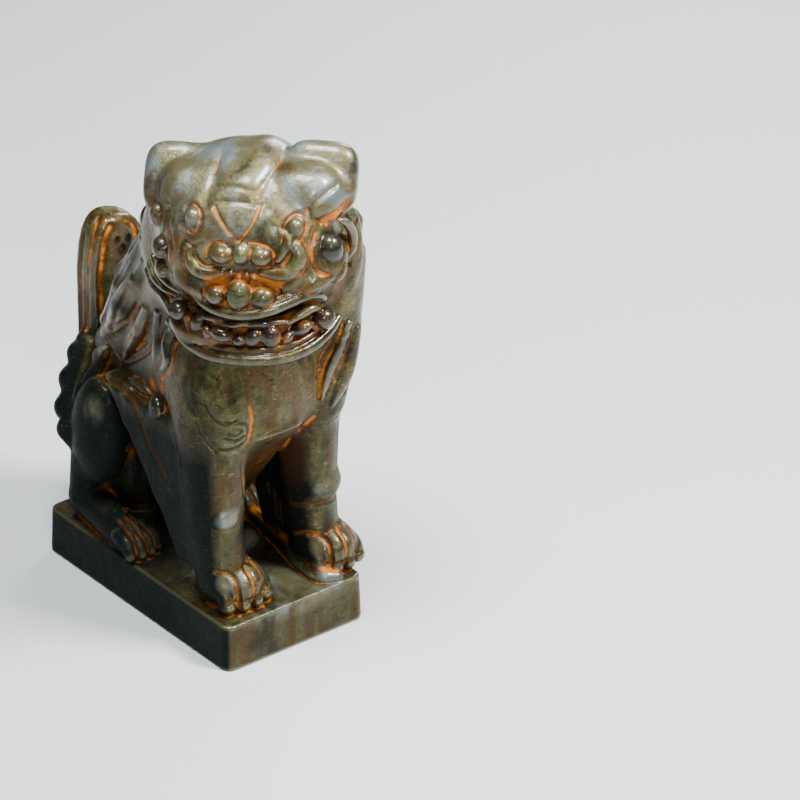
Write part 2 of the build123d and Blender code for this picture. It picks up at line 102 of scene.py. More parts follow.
class Clay:
    """A block of distance field that forms are added to and cut from."""

    def __init__(self, low, high):
        self.low = np.array(low, float)
        self.count = np.ceil((np.array(high) - self.low) / STEP).astype(int) + 1
        self.axes = [(self.low[i] + STEP * np.arange(self.count[i])).astype(np.float32) for i in range(3)]
        self.field = np.full(self.count, FAR, np.float32)
        self.nearest = np.full(self.count, FAR, np.float32)
        self.owner = np.zeros(self.count, np.uint8)
        # marks: rust, painted shade, polish, and painted highlight
        self.rust, self.dark, self.gloss, self.painted_highlight = (np.zeros(self.count, np.float32) for _ in range(4))

    def window(self, low, high, margin=REACH):
        """The part of the block round a box, with the places of its cells."""
        a = np.clip(np.floor((np.array(low) - margin - self.low) / STEP).astype(int), 0, self.count)
        b = np.clip(np.ceil((np.array(high) + margin - self.low) / STEP).astype(int) + 1, 0, self.count)
        part = tuple(slice(i, j) for i, j in zip(a, b))
        x, y, z = (self.axes[i][part[i]] for i in range(3))
        return part, x[:, None, None], y[None, :, None], z[None, None, :]

    def add(self, made, owner, blend):
        """Adds the form, and gives the space nearest to it to its casting."""
        part, d = made
        f = self.field[part]
        if blend > 0:
            h = np.clip(0.5 + 0.5 * (f - d) / blend, 0, 1)
            self.field[part] = f * (1 - h) + d * h - blend * h * (1 - h)
        else:
            self.field[part] = np.minimum(f, d)
        near = self.nearest[part]
        mine = d < near
        self.owner[part][mine] = CASTINGS.index(owner)
        near[mine] = d[mine]

    def cut(self, made, blend):
        """Takes the form away."""
        part, d = made
        f = self.field[part]
        h = np.clip(0.5 - 0.5 * (f + d) / blend, 0, 1)
        self.field[part] = f * (1 - h) - d * h + blend * h * (1 - h)

    def ellipsoid(self, centre, radii, turn=(0, 0, 0), head=False, power=2.0):
        """Distance to an ellipsoid, in the head's frame if head. A power over 2 makes it squarer."""
        m = rotation(turn)
        c = np.array(centre, float)
        if head:
            m, c = HEAD @ m, to_head(c)
        half = np.abs(m) @ np.array(radii, float)
        part, x, y, z = self.window(c - half, c + half)
        x, y, z = x - c[0], y - c[1], z - c[2]
        q = [(m[0, i] * x + m[1, i] * y + m[2, i] * z) / radii[i] for i in range(3)]
        if power == 2.0:
            k0 = np.sqrt(q[0] ** 2 + q[1] ** 2 + q[2] ** 2) + 1e-6
            k1 = np.sqrt(sum((q[i] / radii[i]) ** 2 for i in range(3))) + 1e-9
            return part, (k0 * (k0 - 1) / k1).astype(np.float32)
        total = sum(np.abs(v) ** power for v in q) + 1e-9
        k0 = total ** (1 / power)
        grad = np.sqrt(sum((np.abs(q[i]) ** (power - 1) / radii[i]) ** 2 for i in range(3)))
        grad = grad * total ** (1 / power - 1)
        return part, ((k0 - 1) / (grad + 1e-6)).astype(np.float32)

    def tube(self, points, flat=None):
        """Distance to a tapering round line: each point is x, y, z and a radius.

        flat is a direction and how much wider than round the line is across it.
        """
        p = np.asarray(points, float)
        r = p[:, 3].max() if p.shape[1] > 3 else 0.0
        part, x, y, z = self.window(p[:, :3].min(0) - r, p[:, :3].max(0) + r)
        best = np.full(np.broadcast_shapes(x.shape, y.shape, z.shape), FAR, np.float32)
        for a, b in zip(p, p[1:]):
            ra, rb = (a[3], b[3]) if p.shape[1] > 3 else (0.0, 0.0)
            ab = b[:3] - a[:3]
            length = float(ab @ ab) + 1e-9
            reach = max(ra, rb) + REACH
            lo, hi = np.minimum(a[:3], b[:3]) - reach, np.maximum(a[:3], b[:3]) + reach
            ix = [np.searchsorted(v.ravel(), [l, h]) for v, l, h in zip((x, y, z), lo, hi)]
            cut = tuple(slice(i, j) for i, j in ix)
            if any(i >= j for i, j in ix):
                continue
            dx = x[cut[0]] - a[0]
            dy = y[:, cut[1]] - a[1]
            dz = z[:, :, cut[2]] - a[2]
            t = np.clip((dx * ab[0] + dy * ab[1] + dz * ab[2]) / length, 0, 1)
            ex, ey, ez = dx - t * ab[0], dy - t * ab[1], dz - t * ab[2]
            if flat is not None:
                n, s = flat
                along = ex * n[0] + ey * n[1] + ez * n[2]
                d = np.sqrt(ex ** 2 + ey ** 2 + ez ** 2 + (s * s - 1) * along ** 2)
            else:
                d = np.sqrt(ex ** 2 + ey ** 2 + ez ** 2)
            d -= ra + t * (rb - ra)
            best[cut] = np.minimum(best[cut], d)
        return part, best

    def groove(self, points, width, depth, rust, dark=0.0):
        """Presses a line into the surface and marks it with rust or with painted shade, nearly black."""
        part, d = self.tube(points)
        fall = np.exp(-(d / width) ** 2)
        self.field[part] += depth * fall
        for marks, amount in ((self.rust, rust), (self.dark, dark)):
            if amount:
                np.maximum(marks[part], amount * fall, out=marks[part])

    def dab(self, centre, radii, amount, layer="rust"):
        """Marks a soft patch on a layer: rust, painted shade that is nearly black, polished blue-black
        (gloss) or a painted highlight of bluish grey.
        """
        c, r = np.array(centre, float), np.ones(3) * radii
        part, x, y, z = self.window(c - 1.6 * r, c + 1.6 * r, 0)
        d2 = ((x - c[0]) / r[0]) ** 2 + ((y - c[1]) / r[1]) ** 2 + ((z - c[2]) / r[2]) ** 2
        marks = getattr(self, layer)[part]
        np.maximum(marks, amount * np.exp(-d2), out=marks)

    def polish(self, path, widen, amount):
        """Marks a roll as polished blue-black along its path."""
        for x, y, z, r in path:
            self.dab((x, y, z), widen * r, amount, "gloss")

    def sample(self, values, points):
        """Values of an array at points, between its cells."""
        g = (np.asarray(points, float) - self.low) / STEP
        i = np.clip(np.floor(g).astype(int), 0, self.count - 2)
        t = np.clip(g - i, 0, 1)
        out = np.zeros(len(g))
        near_far = [(1 - t[:, axis], t[:, axis]) for axis in range(3)]
        for dx, dy, dz in itertools.product((0, 1), repeat=3):
            w = near_far[0][dx] * near_far[1][dy] * near_far[2][dz]
            out += w * values[i[:, 0] + dx, i[:, 1] + dy, i[:, 2] + dz]
        return out

    def cast(self, starts, direction):
        """Where rays first meet the clay. A ray that misses keeps its nearest point."""
        p = np.array(starts, float)
        d = np.array(direction, float) / np.linalg.norm(direction)
        travelled = np.zeros(len(p))
        best, best_p = np.full(len(p), 1e9), p.copy()
        done = np.zeros(len(p), bool)
        for _ in range(RAY_LENGTH):
            v = self.sample(self.field, p)
            closer = (v < best) & ~done
            best[closer] = v[closer]
            best_p[closer] = p[closer]
            done |= v < TOUCHING
            # shorter than the distance, because blended forms make it too long
            step = np.where(done, 0, np.clip(v * 0.6, 0.4, 6))
            p += step[:, None] * d
            travelled += step
            if done.all() or travelled.max() > RAY_LENGTH:
                break
        return np.where(done[:, None], p, best_p)


clay = Clay((-112, -202, -3), (122, 188, 556))


def lump(centre, radii, owner, blend, turn=(0, 0, 0), head=False, power=2.0):
    clay.add(clay.ellipsoid(centre, radii, turn, head, power), owner, blend)


def rope(points, owner, blend):
    clay.add(clay.tube(points), owner, blend)


def rounded(p, q, r):
    """Distance to an edge that is rounded to the radius r, from the distances to its two faces."""
    p, q = p + r, q + r
    return np.minimum(np.maximum(p, q), 0) + np.sqrt(np.maximum(p, 0) ** 2 + np.maximum(q, 0) ** 2) - r


def plate(polygon, axis, low, high, rounding, owner, blend):
    """Adds a flat plate with a convex outline, in the two directions other than axis."""
    pts = np.array(polygon, float)
    others = [i for i in range(3) if i != axis]
    lo, hi = np.zeros(3), np.zeros(3)
    lo[axis], hi[axis] = low, high
    lo[others], hi[others] = pts.min(0), pts.max(0)
    part, *xyz = clay.window(lo, hi)
    u, v, w = xyz[others[0]], xyz[others[1]], xyz[axis]
    area = sum(a[0] * b[1] - b[0] * a[1] for a, b in zip(pts, np.roll(pts, -1, 0)))
    sign = 1.0 if area > 0 else -1.0
    inside = None
    for a, b in zip(pts, np.roll(pts, -1, 0)):
        e = (b - a) / np.linalg.norm(b - a)
        d = sign * ((u - a[0]) * e[1] - (v - a[1]) * e[0])
        inside = d if inside is None else np.maximum(inside, d)
    across = np.abs(w - (low + high) / 2) - (high - low) / 2
    clay.add((part, rounded(inside, across, rounding).astype(np.float32)), owner, blend)


def both(function):
    """Calls it for the lion's right, at -X, and for its left."""
    for side, name in ((-1, "right"), (1, "left")):
        function(side, name)


# ---- plinth
def plinth():
    half_x, half_y = PLINTH_HALF
    part, x, y, z = clay.window((-half_x - 2, -half_y - 2, 0), (half_x + 2, half_y + 2, PLINTH_HEIGHT))
    lean = (PLINTH_HEIGHT - z) * PLINTH_LEAN
    side = rounded(np.abs(x) - half_x - lean, np.abs(y) - half_y - lean, PLINTH_CORNER)
    up = np.abs(z - PLINTH_HEIGHT / 2) - PLINTH_HEIGHT / 2
    clay.add((part, rounded(side, up, PLINTH_EDGE).astype(np.float32)), "plinth", 0)


# ---- trunk
def trunk():
    lump((0, -72, 292), (80, 72, 86), "trunk", 8, power=2.3)
    rope([(0, -50, 290, 70), (0, 20, 226, 62), (0, 104, 172, 52)], "trunk", 20)
    lump((0, 98, 140), (62, 50, 92), "trunk", 20)
    belly = [(-138, 240), (-36, 104), (60, 100), (60, 250), (-118, 285)]
    plate(belly, 0, -40, 25, 14, "trunk", 12)
    for side in (-1, 1):
        lump((side * 55, -92, 262), (35, 46, 62), "trunk", 14)


# ---- legs
def foreleg(side, name):
    x = side * LEG_X
    who = name + "_foreleg"
    rope([(x, -95, 246, 35), (x, -96, 200, 31), (x, -98, 130, 27), (x + 5, -99, 78, 25)], who, 10)
    plate([(-96, 84), (-58, 82), (-18, 145), (-18, 240), (-96, 240)], 0, x - 19 + side * 3,
          x + 19 + side * 3, 13, who, 8)
    plate([(-30, 132), (-18, 145), (28, 200), (28, 240), (-30, 240)], 0, x - 19 + side * 4,
          x + 18 + side * 4, 13, "trunk", 8)
    plate([(20, 190), (30, 202), (66, 216), (66, 240), (20, 240)], 0, x - 18 + side * 4, x + 14 + side * 4,
          11, "trunk", 8)
    px, py = x + 13, 4
    lump((px - 1, py - 110, 72), (30, 36, 25), who, 8, turn=(-8, 0, 0))
    for k in (-1.5, -0.5, 0.5, 1.5):
        top = (px + k * 13.5, py - 118 + 3 * abs(k), 80 - 4 * abs(k), 10)
        toe = [top, (px + k * 14.5, py - 131 + 4 * abs(k), 74 - 3 * abs(k), 9.5),
               (px + k * 15, py - 139 + 5 * abs(k), 59, 8.5)]
        rope(smooth_path(toe, 4), who, 2)


def ground_web():
    """The web behind the left foreleg, which stands on the plinth."""
    web = [(-96, 40), (-30, 40), (-10, 98), (-6, 150), (-96, 150)]
    plate(web, 0, 53, 72, 8, "left_foreleg", 6)


def hind_leg(side, name):
    x = side * HIND_X
    who = name + "_hind_leg"
    lump((x, 86, 160), (25, 36, 62), who, 6, turn=(8, 0, 0))
    rope([(x, 106, 118, 19), (x, 112, 76, 18)], who, 8)
    rope([(x, 108, 70, 18), (x + side * 4, 60, 66, 18), (x + side * 5, 32, 64, 17)], who, 8)
    for k in (-1.5, -0.5, 0.5, 1.5):
        toe = [(x + side * 5 + k * 9, 32, 70, 8.5), (x + side * 5 + k * 9.5, 14 + 3 * abs(k), 66, 8),
               (x + side * 5 + k * 10, 5 + 4 * abs(k), 57, 6.5)]
        rope(smooth_path(toe, 4), who, 2)


def tail():
    plume = [(-33, 190), (36, 190), (37, 318), (35, 330), (31, 340), (24, 349), (15, 355), (5, 358.5),
             (-5, 360), (-13, 358), (-20, 352), (-26, 341), (-30, 326), (-33, 300)]
    plate(plume, 1, 131, 168, 11, "tail", 3)
    lump((0, 150, 172), (58, 22, 50), "tail", 6)


def mane():
    lump((-3, 14, 425), (103, 78, 90), "mane", 5, head=True)
    rope([(-5, -40, 390, 80), (-10, 20, 330, 60), (-18, 75, 268, 38), (-25, 105, 240, 22)], "mane", 12)
    rope(smooth_path([(70, -132, 400, 26), (68, -128, 345, 26), (64, -124, 290, 25), (62, -116, 245, 20)]),
         "mane", 10)


def head():
    lump((0, -4, 452), (92, 76, 78), "head", 6, head=True)
    lump((16, -4, 474), (30, 52, 60), "head", 12, head=True)
    lump((5, -30, 440), (84, 56, 64), "head", 12, head=True, power=2.6)
    lump((-66, -8, 489), (34, 17, 36), "head", 8, turn=(-30, 0, 0), head=True, power=3.4)
    lump((71, -8, 503), (35, 17, 35), "head", 8, turn=(-30, 0, 0), head=True, power=3.4)


def jaw():
    lump((4, -36, 356), (76, 48, 19), "lower_jaw", 4, head=True, power=2.4)
    lump((0, -20, 372), (62, 44, 34), "lower_jaw", 4, head=True)


# ---- the face, laid out as it is seen from in front
FACE_SCALE = 0.94
FACE_SHIFT = np.array([9.7, 0.0, 18.8])
FACE_FRONT = -140.0  # rays towards the face start here
FACE_PER = 5  # points in each stretch of a path on the face
KNOB_SINK = 0.35  # how far a knob's middle lies under the surface, as a share of its depth
KNOB_SHINE = 1.5  # how much wider than its knob a polished patch is


def placed(points):
    """Points of the face's layout carried to their place on the head."""
    p = np.array(points, float)
    p[:, [0, 2]] *= FACE_SCALE
    return p + FACE_SHIFT


def on_face(points, lift=0.0):
    """Points x, z and a radius, as the face is seen from in front, carried onto the clay's surface."""
    p = np.asarray(points, float)
    at = placed(np.column_stack([p[:, 0], np.full(len(p), FACE_FRONT), p[:, 1]]))
    hit = clay.cast(to_head(at), INWARD) - lift * INWARD
    return np.column_stack([hit, p[:, 2:] * FACE_SCALE])


def in_head_path(points):
    """A smooth line through points of the face's layout, each x, y, z and a radius."""
    p = np.asarray(points, float)
    return smooth_path(np.column_stack([to_head(placed(p[:, :3])), p[:, 3:] * FACE_SCALE]), FACE_PER)


def roll(points, lift, blend, owner="head"):
    """A raised roll on the face: points x, z and a radius."""
    rope(smooth_path(on_face(points, lift), FACE_PER), owner, blend)


def crease(points, width, depth, rust=1.0):
    """A pressed line on the face: points x, z."""
    path = smooth_path(on_face([(x, z, 0) for x, z in points]), FACE_PER)[:, :3]
    clay.groove(path, width, depth, rust)


def head_rope(points, owner, blend):
    """A tapering round line through points of the layout."""
    rope(in_head_path(points), owner, blend)


def furrow(points, width, depth, rust):
    """Presses a line through points of the layout into the head."""
    clay.groove(in_head_path(points)[:, :3], width, depth, rust)


def stain(at, radii, amount, layer="rust"):
    """Marks a soft patch round a point of the layout."""
    clay.dab(to_head(placed([at]))[0], radii, amount, layer)


def knob(x, z, radii, lift=0.0, blend=0.8, gloss=0.0):
    """A lump on the face's surface, where x and z of the layout meet it."""
    at = on_face([(x, z, 0)], lift)[0, :3]
    sizes = np.array(radii) * FACE_SCALE
    centre = at + INWARD * sizes[1] * KNOB_SINK
    lump(centre, sizes, "head", blend, turn=(0, 0, HEAD_TURN))
    if gloss:
        clay.dab(centre, sizes * KNOB_SHINE, gloss, "gloss")


def spot(x, z, radius, amount, layer="rust"):
    """Marks a soft patch on the face's surface."""
    clay.dab(on_face([(x, z, 0)])[0, :3], radius, amount, layer)


def bead(centre, radii, turn=(0, 0, 0), owner="head", blend=1.0, power=2.0):
    """A lump at a place in the layout, x, y and z."""
    at = placed([centre])[0]
    lump(at, np.array(radii) * FACE_SCALE, owner, blend, turn=turn, head=True, power=power)


def forehead():
    bead((-62, -20, 493), (36, 36, 34), (-24, 0, 0), blend=7, power=2.4)
    bead((-8, -24, 500), (30, 42, 30), (-24, 0, 0), blend=8, power=2.3)
    bead((52, -20, 502), (42, 38, 34), (-24, 0, 0), blend=7, power=2.4)
    # furrows between the three lobes of the brow
    crease([(-36, 548), (-36, 535), (-38, 520), (-44, 508)], 6.0, 2.2, 0.0)
    crease([(-37, 545), (-36, 536), (-37, 528)], 1.3, 1.0, 0.8)
    crease([(27, 538), (18, 528), (14, 518), (20, 508)], 6.0, 1.8, 0.0)
    crease([(26, 537), (20, 531), (14, 525)], 1.1, 0.9, 0.5)
    crease([(-40, 506), (-28, 511), (-8, 513), (10, 511)], 2.5, 1.6, 0.25)
    crease([(-32, 521), (-12, 524), (4, 522)], 2.5, 1.0, 0.1)
    crease([(-32, 507), (-27, 500), (-15, 487), (-4, 478)], 1.6, 3.0)
    crease([(14, 510), (8, 495), (-4, 478)], 1.6, 3.0)


def eyes():
    for x, z, w, h in ((-54, 493, 8, 10), (50, 489, 9, 11)):
        ring = np.linspace(-2.4, 3.9, 15) if x > 0 else np.linspace(-2.0, 2.6, 12)
        crease([(x + w * 1.2 * math.cos(a), z + h * 1.15 * math.sin(a)) for a in ring], 1.6, 3.4)
        knob(x, z, (w, 7, h), gloss=0.35)
    crease([(-66, 484), (-64, 474), (-54, 468), (-42, 474)], 1.6, 2.0, 0.6)
    crease([(38, 484), (40, 474), (50, 470), (62, 476), (66, 486)], 1.6, 1.8, 0.35)


def nose():
    for x, z, w, h in ((-22, 463, 13, 10.5), (-2, 465, 10, 12), (18, 463, 12.5, 11)):
        knob(x, z, (w, 12, h), 1.0, 1.6)
    crease([(-38, 458), (-37, 468), (-30, 475), (-18, 476), (-10, 479)], 1.5, 2.6)
    crease([(6, 478), (16, 477), (27, 473), (32, 464), (29, 453)], 1.5, 2.6)
    # rolls from the nose round the muzzle
    roll([(-58, 466, 4), (-57, 453, 7), (-48, 443, 8.5), (-36, 440, 8), (-22, 443, 5)], -1.0, 2.5)
    crease([(-61, 462), (-61, 447), (-52, 435), (-38, 430), (-22, 431)], 1.7, 3.4)
    crease([(-50, 462), (-46, 452), (-38, 448), (-30, 449)], 1.4, 2.4, 0.7)
    roll([(20, 446, 5), (36, 445, 8.5), (48, 449, 9.5), (55, 461, 8.5), (53, 474, 5)], -0.5, 2.5)
    crease([(58, 478), (64, 464), (61, 447), (49, 436), (34, 432), (16, 433)], 2.0, 3.8)
    # the small horn beside the nose
    roll([(36, 489, 1.5), (43, 482, 3.5), (41, 471, 5), (35, 461, 4.5)], -0.5, 2.5)
    roll([(47, 485, 1.2), (46, 478, 3), (50, 471, 3)], -0.5, 2)
    for x, z, radius in ((-34, 434, 6), (-24, 434, 9), (-12, 438, 8), (0, 440, 7), (10, 438, 8),
                         (22, 434, 9), (34, 433, 6), (-18, 424, 7), (10, 428, 7), (-36, 426, 5),
                         (32, 426, 5)):
        spot(x, z, radius, 1.0)
    for x, z in ((-12, 444), (-4, 441), (4, 444), (11, 441)):
        knob(x, z, (3.8, 5.0, 3.4), 1.5, 0.5)


def lip():
    # cheek bands that come down from beside the nose into the lip
    roll([(-66, 478, 7), (-70, 458, 9), (-68, 437, 10), (-57, 421, 10), (-42, 411, 8)], -3.5, 3)
    roll([(40, 414, 8), (54, 420, 11), (68, 430, 13), (80, 442, 12), (88, 454, 9)], -5, 5)
    crease([(-78, 470), (-81, 452), (-79, 434), (-68, 416), (-54, 404)], 1.8, 3.2, 0.5)
    crease([(56, 450), (68, 446), (76, 440)], 1.6, 1.4, 0.2)
    # painted highlights on the brow and the cheeks
    for x, z, r in ((58, 436, 9), (-60, 440, 7), (10, 498, 10), (-14, 495, 9), (34, 500, 10),
                    (-40, 470, 8), (62, 470, 8)):
        spot(x, z, r, 0.7, "painted_highlight")
    for x, y, z, w, d, h in ((-28, -86, 417, 11, 10, 10.5), (-4, -88, 420, 14, 13.5, 18.5),
            (19, -86, 417, 14.5, 12, 13.5)):
        bead((x, y, z), (w, d, h), blend=0.8)
        stain((x, y, z), np.array([w, d, h]) * 1.35, 0.6, "gloss")
    clay.groove(to_head(placed([(7, -100, 425), (7, -100, 418)])), 1.4, 3.0, 0.0)
    crease([(-38, 428), (-42, 418), (-39, 408), (-29, 405)], 1.8, 3.4, 0.8)
    crease([(31, 430), (36, 421), (35, 409)], 1.8, 3.4, 0.9)
    crease([(-18, 434), (-17, 422), (-16, 407)], 1.4, 2.4, 0.7)
    rim = [(-64, -57, 413, 3), (-56, -66, 407, 4.5), (-46, -74, 402, 5.5), (-31, -84, 399.5, 6),
           (-12, -92, 400.5, 6.5), (8, -94, 402.5, 6.5), (29, -90, 407, 6), (45, -83, 412, 5.5),
           (60, -74, 416, 5), (71, -65, 414, 4.5), (77, -58, 406, 3)]
    inner = [(x * 0.97, y + 7, z + 4, r + 1.5) for x, y, z, r in rim[1:-1]]
    head_rope(inner, "head", 2.0)
    head_rope(rim, "head", 1.2)
    clay.polish(in_head_path(rim), 1.6, 0.60)
    over = [(x, y - 2.0, z + 7.5, 0) for x, y, z, _ in rim[1:-1]]
    furrow(over, 1.4, 2.2, 1.0)
    furrow([(66, -75, 422, 0), (77, -68, 420, 0), (83, -60, 411, 0), (81, -60, 401, 0)], 1.8, 3.0, 1.0)


def mouth():
    clay.cut(clay.ellipsoid(placed([(2, -60, 380)])[0], (64, 32, 14), (0, 2, 0), head=True, power=2.4), 2.0)
    lower = [(-85, -32, 359, 3), (-80, -43, 353, 5), (-66, -60, 346, 6.5), (-40, -78, 343.5, 7.2),
             (-13, -88, 346.5, 7.6), (16, -90, 349, 7.6), (43, -82, 351, 7.2), (64, -67, 355, 6.8),
             (79, -48, 363, 6), (87, -36, 372, 4)]
    head_rope(lower, "lower_jaw", 1.5)
    clay.polish(in_head_path(lower), 1.6, 0.68)
    # a second, thinner fold inside the lip
    fold = [(x * 0.96, y + 1, z + 9.5, 3.2) for x, y, z, _ in lower[1:-1]]
    head_rope(fold, "lower_jaw", 0.8)
    furrow([(x * 0.98, y - 4, z + 5.5, 0) for x, y, z, _ in lower[1:-1]], 1.2, 2.0, 0.5)
    flesh = [(-62, -42, 369, 11), (-32, -62, 370, 12), (0, -70, 371, 12), (32, -68, 374, 12),
             (64, -46, 380, 11)]
    head_rope(flesh, "lower_jaw", 2)
    for x, y, z, _ in flesh + [(-47, -52, 370, 0), (-16, -66, 371, 0), (16, -69, 373, 0),
            (48, -57, 377, 0)]:
        stain((x, y - 8, z), 15.0, 1.0)
    for x, y, z, w, h, d, turn in ((-50, -70, 374, 8, 11, 8, 20), (-38, -78, 368, 6, 8, 7, -30),
            (-22, -85, 371, 13, 8, 8, 12), (-4, -88, 368, 8, 6, 7, -15), (10, -89, 373, 9, 11, 8, 35),
            (27, -86, 374, 11, 12.5, 9, -10), (43, -79, 370, 6, 8, 7, 30), (55, -71, 377, 13, 7, 8, -28)):
        bead((x, y, z), (w, d, h), (0, turn, 0), owner="lower_jaw", blend=0.6)
        stain((x, y, z), np.array([w, d, h]) * 1.3, 0.95, "gloss")
    furrow([(27 + 6.5 * math.cos(a), -94, 374 + 6.5 * math.sin(a), 0) for a in np.linspace(0, 5.4, 10)],
           1.2, 2.4, 1.0)
    for points in ([(-58, -62, 387, 2.5), (-42, -73, 383, 4), (-24, -81, 385, 3)],
                   [(-30, -80, 381, 2.5), (-12, -85, 383, 4), (4, -86, 387, 2.5)],
                   [(2, -86, 384, 2.5), (20, -86, 388, 4), (40, -79, 388, 2.5)]):
        head_rope(points, "lower_jaw", 0.8)
        stain(points[1][:3], (9, 9, 6), 0.8, "gloss")
    for points in ([(-66, -58, 380, 4), (-60, -66, 371, 5), (-52, -72, 361, 5), (-46, -76, 353, 3.5)],
                   [(-78, -50, 366, 3.5), (-68, -60, 359, 4.5), (-56, -69, 354, 3)],
                   [(44, -77, 386, 3), (56, -71, 393, 4.5), (66, -64, 397, 4.5), (73, -57, 392, 3)],
                   [(62, -64, 378, 4), (70, -57, 372, 4.5), (76, -50, 368, 3)]):
        head_rope(points, "lower_jaw", 0.8)
    for x, y, z, r in ((-72, -62, 381, 10.5), (76, -55, 382, 11.5)):
        bead((x, y, z), (r, r, r), owner="lower_jaw", blend=0.5)
        stain((x, y, z), r * 1.4, 0.9, "gloss")
    stain((-60, -66, 376), 7, 0.9)
    stain((64, -64, 380), 7, 0.9)
    for x, z in ((-86, 392), (-84, 378), (84, 398)):
        spot(x, z, 6, 0.6)


def cheek():
    """The curl at the left jaw and the flame-shaped recess over it."""
    bead((72, -46, 446), (26, 24, 24), blend=8)
    crease([(70, 482), (67, 468), (69, 452), (76, 442), (86, 438)], 2.2, 4.2)
    bead((83, -55, 462), (13, 12, 15.5), blend=0.6)
    stain((83, -55, 462), (17, 17, 20), 1.0, "gloss")
    outer = [(86, -44, 490, 2.5), (95, -36, 482, 4.5), (100, -28, 466, 5), (99, -26, 448, 5),
             (92, -34, 436, 3)]
    head_rope(outer, "head", 1.5)
    furrow([(91, -69, 470, 0), (93, -69, 462, 0), (89, -71, 453, 0)], 1.4, 2.4, 1.0)
    crease([(74, 489), (82, 493), (90, 497), (98, 502)], 4.0, 4.0)
    crease([(97, 500), (90, 492), (87, 484)], 3.6, 3.5)
    crease([(78, 484), (84, 487), (88, 489)], 3.0, 2.0)
    roll([(79, 486, 1.0), (85, 490, 2.2), (92, 496, 1.0)], 0.5, 0.6)
    crease([(60, 503), (66, 511), (75, 518), (86, 523)], 2.4, 3.6, 0.1)
    crease([(59, 504), (65, 496), (71, 488)], 2.0, 2.6, 0.15)
    crease([(70, 407), (82, 410), (91, 416), (96, 428)], 1.8, 3.0, 0.7)
    roll([(84, 424, 3), (92, 432, 4.5), (97, 442, 3)], 0.5, 1.0)


def side_curls():
    for x, z, w, h, gloss in ((-96, 476, 9.5, 13, 0.6), (-88, 450, 11.5, 12.5, 0.8),
            (-87, 425, 10.5, 11, 0.6)):
        knob(x, z, (w, w, h), 2.5, 0.6, gloss=gloss)
        crease([(x + w * 1.15, z + h), (x + w * 1.2, z), (x + w * 0.9, z - h)], 1.6, 2.8, 0.7)
        crease([(x + 3, z + h * 0.5), (x - 3, z + h * 0.3), (x - 3, z - h * 0.3), (x + 4, z - h * 0.4)],
               1.2, 2.0, 0.3)
    crease([(-82, 492), (-81, 478), (-75, 466), (-74, 452), (-76, 438)], 2.0, 3.5, 0.8)
    for dx, dz, r in ((0, 0, 4.5), (-5, -10, 4.5), (-8, -21, 5)):
        path = [(-104 + dx, 424 + dz, r - 1.5), (-96 + dx, 412 + dz, r), (-84 + dx, 405 + dz, r - 0.5),
                (-70 + dx, 402 + dz, r - 2.5)]
        roll(path, 1.5, 0.8, "head" if dz > -15 else "mane")
        clay.polish(on_face(path), 2.0, 0.6)
    fringe = [(86, -6, 486, 4), (93, 0, 468, 8), (96, 2, 442, 9), (96, 2, 414, 9), (92, 4, 390, 6)]
    head_rope(fringe, "mane", 3.5)
    for x, z in ((99, 470), (102, 449), (103, 427), (102, 405)):
        furrow([(x - 2, -8, z + 9, 0), (x + 2, -3, z, 0), (x - 2, -8, z - 9, 0)], 1.4, 2.4, 0.7)


# ---- details on the body, on the surface that is there already
def snap(points, lift=0.0):
    """Points carried onto the clay's surface along its slope."""
    p = np.array(points, float)
    at = p[:, :3]
    for _ in range(6):
        value = clay.sample(clay.field, at)
        slope = np.column_stack([
            clay.sample(clay.field, at + STEP * axis) - clay.sample(clay.field, at - STEP * axis)
            for axis in np.eye(3)
        ])
        slope /= np.linalg.norm(slope, axis=1)[:, None] + 1e-6
        at = at - np.clip(value, -8, 8)[:, None] * slope
    p[:, :3] = at + lift * slope
    return p


def mirrored(points, side):
    """The points as given for the lion's right, or their mirror image."""
    p = np.array(points, float)
    p[:, 0] *= -side
    return p


def line(points, width, depth, rust=1.0, per=6, dark=0.0):
    """A pressed line that follows the surface."""
    clay.groove(snap(smooth_path(points, per))[:, :3], width, depth, rust, dark)


def strand(points, owner, blend, lift, polish=0.0):
    """A raised lock that follows the surface."""
    path = snap(smooth_path(points), lift)
    rope(path, owner, blend)
    if polish:
        clay.polish(path, 2.0, polish)


# ---- tail
def tail_grooves():
    for side in (-1, 1):
        line(mirrored([(-10, 131, 352), (-17, 131, 342), (-20, 131, 325), (-24, 131, 300), (-24, 131, 262),
                       (-22, 131, 220)], side), 2.6, 4.5)
        line(mirrored([(-14, 146, 356), (-26, 141, 334), (-29, 142, 315), (-33, 144, 295), (-33, 144, 265),
                       (-33, 146, 225)], side), 2.4, 4.0, 0.9)
        line(mirrored([(-24, 156, 340), (-32, 155, 315), (-33, 155, 280), (-33, 156, 230)], side), 2.2,
             3.5, 0.6)
    for x in (-18, -6, 6, 18):
        line([(x * 0.5, 168, 352), (x * 0.9, 168, 330), (x * 1.1, 168, 290), (x, 168, 250),
              (x * 1.2, 168, 205)], 2.6, 4.0, 0.7)
    for x, z, r in ((2, 322, 6), (10, 332, 5), (14, 312, 6), (0, 303, 5), (8, 290, 6), (16, 297, 4),
                    (-4, 334, 4), (4, 276, 5)):
        clay.cut(clay.ellipsoid((x, 130, z), (r * 0.8, 3.0, r)), 2.0)
        # painted shade in the pit
        clay.dab((x, 131, z), 1.3 * r, 0.7, "dark")


